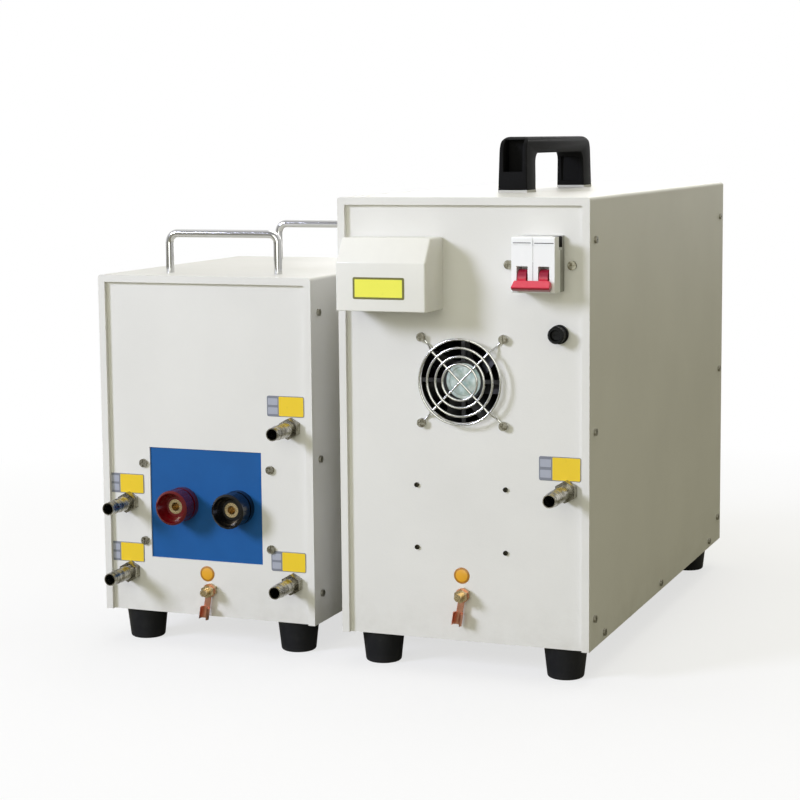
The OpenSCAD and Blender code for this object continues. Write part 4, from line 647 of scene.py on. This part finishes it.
def softened(node, width, steps, keep):
    """Shows a copy of a CAD piece with its outer edges rounded, but for those on the kept sides."""
    source = nodes[node]
    data = source.data.copy()
    data.name = node + "_soft"
    work = bmesh.new()
    work.from_mesh(data)
    work.transform(source.matrix_world)
    bmesh.ops.remove_doubles(work, verts=work.verts, dist=WELD)
    bmesh.ops.dissolve_limit(work, angle_limit=math.radians(1), verts=work.verts, edges=work.edges)
    low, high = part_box(node)
    sides = {"back": (1, high.y), "under": (2, low.z)}
    chosen = []
    for edge in work.edges:
        if len(edge.link_faces) != 2 or not edge.is_convex:
            continue
        if edge.calc_face_angle() < math.radians(SHARP_ANGLE):
            continue
        kept = [all(abs(v.co[axis] - level) < ON_SIDE for v in edge.verts)
                for axis, level in (sides[name] for name in keep)]
        if not any(kept):
            chosen.append(edge)
    bmesh.ops.bevel(work, geom=chosen, offset=width, offset_type="OFFSET", segments=steps, profile=0.5,
                    affect="EDGES", clamp_overlap=False)
    bmesh.ops.triangulate(work, faces=[face for face in work.faces if len(face.verts) > 4])
    work.to_mesh(data)
    work.free()
    data.shade_smooth()
    data.set_sharp_from_angle(angle=math.radians(SOFT_ANGLE))
    made = bpy.data.objects.new(node + "_soft", data)
    bpy.context.scene.collection.objects.link(made)
    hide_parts(node)
    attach(made, "cabinets")


HANDLE_ROUNDING = 0.9 * MM
HANDLE_ROUNDING_STEPS = 3
COVER_ROUNDING = 1.9 * MM
COVER_ROUNDING_STEPS = 4


def soften_pieces():
    softened("carry_handle", HANDLE_ROUNDING, HANDLE_ROUNDING_STEPS, ("under",))
    softened("terminal_cover", COVER_ROUNDING, COVER_ROUNDING_STEPS, ("back", "under"))


# Bare two-tone plates above the water fittings: a grey plate that carries a yellow field at its
# right and two pale cells at its left. A build is thickness, corner radius and bevel.
PLATE_BUILD = (0.5, 1.6, 0.15)
FIELD_BUILD = (0.12, 0.9, 0.04)
CELL_BUILD = (0.12, 0.6, 0.04)
FIELD_MARGIN = 0.6
FIELD_WIDTH_SHARE = 0.66
CELL_MARGIN = 1.1
CELL_GAP = 1.7
CELL_HEIGHT_SHARE = 0.32
CELL_AWAY_SHARE = 0.22


def water_plate(name, place, width, height):
    plate(name + "_plate", place, (width, height), PLATE_BUILD, LABEL_GREY)
    front = out_from(place, PLATE_BUILD[0])
    field_w = width * FIELD_WIDTH_SHARE
    field = front + Vector((width / 2 - field_w / 2 - FIELD_MARGIN, 0, 0)) * MM
    plate(name + "_field", field, (field_w, height - 2 * FIELD_MARGIN), FIELD_BUILD, LABEL_YELLOW)
    cell_w = width - field_w - CELL_MARGIN - CELL_GAP
    for i, side in enumerate((1, -1)):
        away = Vector((-width / 2 + CELL_MARGIN + cell_w / 2, 0, side * height * CELL_AWAY_SHARE))
        plate(f"{name}_cell_{i}", front + away * MM, (cell_w, height * CELL_HEIGHT_SHARE), CELL_BUILD,
              LABEL_PALE)


# Earth discs, each a rim with a paler field on it, as pairs of distance out and radius
EARTH_THICK = 0.35
EARTH_RIM_PROFILE = ((0, 6.9), (0.25, 6.9), (EARTH_THICK, 6.7))
EARTH_FIELD_PROFILE = ((0, 5.2), (0.08, 5.2), (0.12, 5.1))


def make_plates():
    water_plate("water_main", main_at(192.2, FACE_Y, 150), 35.6, 20)
    water_plate("water_head_0", head_at(178.5, FACE_Y, 190), 35, 18)
    water_plate("water_head_1", head_at(21.5, FACE_Y, 114.7), 35, 17.6)
    water_plate("water_head_2", head_at(20.4, FACE_Y, 52.6), 34.5, 17.4)
    water_plate("water_head_3", head_at(179.2, FACE_Y, 54.0), 33, 17.6)
    for name, place in (("main", main_at(107, FACE_Y, 55.6)), ("head", head_at(100, FACE_Y, 37.8))):
        disc(name + "_earth_disc", place, EARTH_RIM_PROFILE, DISC_RIM)
        disc(name + "_earth_disc_field", out_from(place, EARTH_THICK), EARTH_FIELD_PROFILE, DISC_AMBER)


# The terminal cover's bare plate, with its middle counted from the cover's lowest left corner
TERMINAL_LABEL_X = 37.7
TERMINAL_LABEL_Z = 18.9
TERMINAL_LABEL_SIZE = (45, 17.9)
TERMINAL_LABEL_BUILD = (0.3, 1.4, 0.08)
TERMINAL_FIELD_SIZE = (41.4, 14.5)
TERMINAL_FIELD_BUILD = (0.1, 0.6, 0.03)


def make_terminal_label():
    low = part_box("terminal_cover")[0]
    front = Vector((low.x + TERMINAL_LABEL_X * MM, low.y, low.z + TERMINAL_LABEL_Z * MM))
    plate("terminal_label", front, TERMINAL_LABEL_SIZE, TERMINAL_LABEL_BUILD, LABEL_OLIVE)
    front = out_from(front, TERMINAL_LABEL_BUILD[0])
    plate("terminal_label_field", front, TERMINAL_FIELD_SIZE, TERMINAL_FIELD_BUILD, LABEL_LEMON)


# The sticker on the fan's hub and the ring printed on it, as pairs of distance out and radius
STICKER_THICK = 0.14
STICKER_PROFILE = ((0, 14.9), (0.1, 14.9), (STICKER_THICK, 14.8))
STICKER_RING_PROFILE = ((0, 12.2), (0.05, 12.2), (0.05, 11.7), (0, 11.7))
STICKER_RING_STEPS = 64


def make_hub_sticker():
    low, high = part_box("fan_frame")
    middle = (low + high) / 2
    place = Vector((middle.x, low.y, middle.z))
    disc("hub_sticker", place, STICKER_PROFILE, STICKER)
    front = out_from(place, STICKER_THICK)
    rings = [circle(front, out, radius, STICKER_RING_STEPS) for out, radius in STICKER_RING_PROFILE]
    rings.append(rings[0])
    add_mesh("hub_sticker_ring", *loft(rings, False), STICKER_RING, "cabinets", "pad_plastic")


# Flat lines on the breaker's face: name, middle, width, height and colour
BREAKER_X = 177.5
POLE_AWAY = 9.2
BREAKER_LINES = (
    ("pole_seam", BREAKER_X, 311.0, 0.4, 17.0, SEAM_GREY),
    ("pole_seam_top", BREAKER_X, 334.5, 0.35, 4.5, SEAM_GREY),
    ("window_line_0", BREAKER_X - POLE_AWAY, 334.8, 15.0, 0.7, DARK_LINE),
    ("window_line_1", BREAKER_X + POLE_AWAY, 334.6, 16.0, 0.7, DARK_LINE),
)
BREAKER_LINE_THICK = 0.05
LINE_CORNER_SHARE = 0.2


def make_breaker_marks():
    """The mould lines between the two poles and a window line across each."""
    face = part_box("breaker_body")[0].y
    for name, x, z, width, height, ink in BREAKER_LINES:
        place = main_at(x, 0, z)
        place.y = face
        corner = min(width, height) * LINE_CORNER_SHARE
        plate("breaker_" + name, place, (width, height), (BREAKER_LINE_THICK, corner, corner / 4), ink,
              slot="black_plastic")


# Digits of the display. Each segment is a place in half widths and half heights of the digit from
# its middle, and whether it lies level.
DIGITS = 4
DIGIT_PITCH_SHARE = 0.2
DIGIT_WIDTH_SHARE = 0.11
DIGIT_HEIGHT_SHARE = 0.62
SEGMENT_LONG_SHARE = 0.8
SEGMENT_WIDE_SHARE = 0.16
SEGMENT_CORNER_SHARE = 0.45
SEGMENT_THICK = 0.06
SEGMENT_BEVEL = 0.02
SEGMENTS_OF_DIGIT = ((0, 1, True), (0, 0, True), (0, -1, True), (-1, 0.5, False), (1, 0.5, False),
                     (-1, -0.5, False), (1, -0.5, False))


def make_display():
    """Unlit seven-part digits on the tinted window, in relief so that they catch the light."""
    low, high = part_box("display_window")
    middle = (low + high) / 2
    width = (high.x - low.x) / MM
    digit_w = width * DIGIT_WIDTH_SHARE
    digit_h = (high.z - low.z) / MM * DIGIT_HEIGHT_SHARE
    long = digit_w * SEGMENT_LONG_SHARE
    wide = digit_w * SEGMENT_WIDE_SHARE
    build = (SEGMENT_THICK, wide * SEGMENT_CORNER_SHARE, SEGMENT_BEVEL)
    for digit in range(DIGITS):
        from_middle = (digit - (DIGITS - 1) / 2) * width * DIGIT_PITCH_SHARE
        centre = Vector((middle.x + from_middle * MM, high.y, middle.z))
        for i, (dx, dz, level) in enumerate(SEGMENTS_OF_DIGIT):
            place = centre + Vector((dx * digit_w / 2, 0, dz * digit_h / 2)) * MM
            size = (long, wide) if level else (wide, long)
            plate(f"digit_{digit}_{i}", place, size, build, SEGMENT, slot="display_red", outward=1)


# The dial round the power knob: its marks, their angles in degrees, and how far strokes and
# numbers stand from the knob
DIAL_MARKS = 11
DIAL_FIRST = 240
DIAL_STEP = 30
STROKE_AWAY = 5.5
STROKE_SIZE = (0.8, 3.6)
STROKE_BUILD = (0.15, 0.3, 0.03)
NUMBER_AWAY = 12.5
NUMBER_SIZE = 6
NUMBER_RELIEF = 0.06
FACING_REAR = Matrix(((-1, 0, 0), (0, 0, 1), (0, 1, 0))).to_4x4()
POINTER_WIDTH = 1.3
POINTER_LENGTH_SHARE = 0.6
POINTER_AWAY_SHARE = 0.55
POINTER_BUILD = (0.1, 0.4, 0.03)


def dial_number(value, place):
    text = bpy.data.curves.new(f"dial_number_{value}", "FONT")
    text.body = str(value)
    text.size = NUMBER_SIZE * MM
    text.extrude = NUMBER_RELIEF * MM
    text.align_x = "CENTER"
    text.align_y = "CENTER"
    text.materials.append(SCALE_DARK)
    number = bpy.data.objects.new(f"dial_number_{value}", text)
    bpy.context.scene.collection.objects.link(number)
    number.matrix_world = Matrix.Translation(place + Vector((0, NUMBER_RELIEF * MM, 0))) @ FACING_REAR
    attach(number, "cabinets")


def make_dial():
    """Scale strokes and plain numbers round the power knob, and the knob's pointer line."""
    low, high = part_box("power_knob")
    panel_y = main_far(0, FACE_Y, 0).y
    centre = Vector(((low.x + high.x) / 2, panel_y, (low.z + high.z) / 2))
    knob_r = (high.x - low.x) / 2 / MM
    for i in range(DIAL_MARKS):
        turn = math.radians(DIAL_FIRST - DIAL_STEP * i)
        away = Vector((-math.cos(turn), 0, math.sin(turn)))
        stroke = plate(f"dial_stroke_{i}", Vector((0, 0, 0)), STROKE_SIZE, STROKE_BUILD, SCALE_DARK,
                       slot="black_plastic", outward=1)
        lean = Matrix.Rotation(math.pi / 2 - turn, 4, "Y")
        place = centre + away * (knob_r + STROKE_AWAY) * MM
        stroke.data.transform(Matrix.Translation(place) @ lean.inverted())
        dial_number(i, centre + away * (knob_r + NUMBER_AWAY) * MM)
    pointer = Vector((centre.x, high.y, centre.z + knob_r * POINTER_AWAY_SHARE * MM))
    plate("knob_pointer", pointer, (POINTER_WIDTH, knob_r * POINTER_LENGTH_SHARE), POINTER_BUILD,
          SCALE_WHITE, body="knob", outward=1)


# Threads on plain studs. The skin stands off the stud, its crests are worn a little, and its roots
# lie inside the stud. The stretch of each flank and crest is a share of the pitch.
THREAD_STEPS = 24
THREAD_DEPTH_SHARE = 0.55
CREST_SHARE = 0.12
SKIN_RISE = 0.04
CREST_WEAR = 0.02


def thread(name, place, radius, pitch, start, length, outward=-1):
    """A screw thread as a helical skin round a brass stud on an axis along Y."""
    shape = ((0.0, -CREST_WEAR), (CREST_SHARE, -CREST_WEAR), (0.5, -pitch * THREAD_DEPTH_SHARE),
             (1 - CREST_SHARE, -CREST_WEAR))
    rows = int(length / pitch) * len(shape)
    points = []
    for row in range(rows):
        share, drop = shape[row % len(shape)]
        base = start + (row // len(shape) + share) * pitch
        for i in range(THREAD_STEPS):
            turn = 2 * math.pi * i / THREAD_STEPS
            out = min(max(base + pitch * i / THREAD_STEPS, start), start + length)
            r = radius + SKIN_RISE + drop
            points.append(place + Vector((r * math.cos(turn), outward * out, r * math.sin(turn))) * MM)
    faces = []
    for row in range(rows - 1):
        for i in range(THREAD_STEPS - 1):
            a = row * THREAD_STEPS + i
            faces.append((a, a + 1, a + THREAD_STEPS + 1, a + THREAD_STEPS))
        if row + len(shape) + 1 < rows:
            last = row * THREAD_STEPS + THREAD_STEPS - 1
            follow = (row + len(shape)) * THREAD_STEPS
            faces.append((last, follow, follow + THREAD_STEPS, last + THREAD_STEPS))
    add_mesh(name, points, faces, MATERIALS["stud_brass"], "cabinets", "stud_brass", smooth=True)


# Radius, pitch, distance of the thread's start from the cover's edge, and length
EARTH_THREAD = (3.0, 1.0, 6.8, 6.1)
OUTPUT_THREAD = (5.0, 1.5, 11.4, 10.0)


def make_threads():
    thread("main_earth_thread", main_at(109, 0, 40), *EARTH_THREAD)
    thread("head_earth_thread", head_at(103.9, 0, 24), *EARTH_THREAD)
    for i, x in enumerate((79, 139)):
        thread(f"output_thread_{i}", main_far(x, 0, 62), *OUTPUT_THREAD, outward=1)


# The floor glows more and more between the two distances from its middle, and is plain white
# beyond them. The camera sees a pale floor, and light is thrown back by a dimmer one.
FLOOR_SIZE = 12.0
FLOOR_FADE = (0.40, 1.05)
FLOOR_LEAST_GLOW = 0.68
FLOOR_SEEN = (0.94, 0.94, 0.94, 1)
FLOOR_UNSEEN = (0.30, 0.29, 0.23, 1)


def make_floor():
    r = Recipe("floor")
    away = r.add("ShaderNodeVectorMath", operation="LENGTH")
    r.feed(away.inputs[0], r.place)
    glow = r.span(away.outputs["Value"], *FLOOR_FADE, FLOOR_LEAST_GLOW, 1.0)
    seen = r.add("ShaderNodeLightPath").outputs["Is Camera Ray"]
    matt = r.blended(seen, r.plain("ShaderNodeBsdfDiffuse", FLOOR_UNSEEN),
                     r.plain("ShaderNodeBsdfDiffuse", FLOOR_SEEN))
    r.close(r.blended(r.times(glow, seen), matt, r.plain("ShaderNodeEmission", WHITE)))
    half = FLOOR_SIZE / 2
    corners = [(-half, -half, 0), (half, -half, 0), (half, half, 0), (-half, half, 0)]
    data = bpy.data.meshes.new("floor")
    data.from_pydata(corners, [], [(0, 1, 2, 3)])
    data.materials.append(r.owner)
    floor = bpy.data.objects.new("floor", data)
    bpy.context.scene.collection.objects.link(floor)


AMBIENT = 0.32
AMBIENT_COLOUR = (1.0, 0.965, 0.68, 1)

# What mirrors see grows from the dim level to white over this stretch of the direction's Y
ROOM_STRETCH = (-0.7, 0.3)
ROOM_DIM = 0.32


def make_world():
    """White where it is seen, a darker room in front for mirrors, and a plain level elsewhere."""
    r = Recipe("world", bpy.data.worlds, "ShaderNodeOutputWorld", "Generated")
    bpy.context.scene.world = r.owner
    path = r.add("ShaderNodeLightPath").outputs
    room = r.span(r.axis("Y"), *ROOM_STRETCH, ROOM_DIM, 1.0)
    light = r.blended(path["Is Glossy Ray"], r.plain("ShaderNodeBackground", AMBIENT_COLOUR, AMBIENT),
                      r.plain("ShaderNodeBackground", WHITE, room))
    seen = r.larger(path["Is Camera Ray"], path["Is Transmission Ray"])
    r.close(r.blended(seen, light, r.plain("ShaderNodeBackground", WHITE, 1.0)))


# Each lamp's place, what it points at, its width, its power and its colour
MACHINE_MIDDLE = (0.0, -0.1, 0.2)
LAMPS = {
    "key": ((-2.75, -3.30, 1.95), MACHINE_MIDDLE, 1.3, 154.0, (0.76, 0.79, 1.0)),
    "fill": ((0.3, -4.2, 0.9), MACHINE_MIDDLE, 3.0, 57.0, (0.97, 0.98, 0.91)),
    "top": ((0.1, 0.3, 2.1), (0.05, 0.0, 0.3), 1.8, 15.0, (1.0, 0.99, 0.97)),
    "side": ((2.2, -0.4, 1.1), MACHINE_MIDDLE, 1.2, 2.0, (1.0, 0.93, 0.78)),
    "back": ((-0.6, 3.6, 0.7), MACHINE_MIDDLE, 2.2, 26.0, (1.0, 0.99, 0.97)),
}


def make_lamps():
    for name, (place, target, size, power, colour) in LAMPS.items():
        data = bpy.data.lights.new(name, "AREA")
        data.shape = "DISK"
        data.size = size
        data.energy = power
        data.color = colour
        made = bpy.data.objects.new(name, data)
        bpy.context.scene.collection.objects.link(made)
        made.location = place
        made.rotation_mode = "QUATERNION"
        made.rotation_quaternion = (Vector(target) - Vector(place)).to_track_quat("-Z", "Y")


make_camera()
dress_nodes()
soften_pieces()
make_plates()
make_terminal_label()
make_hub_sticker()
make_breaker_marks()
make_display()
make_dial()
make_threads()
make_floor()
make_world()
make_lamps()

bpy.context.scene.view_settings.view_transform = "Standard"
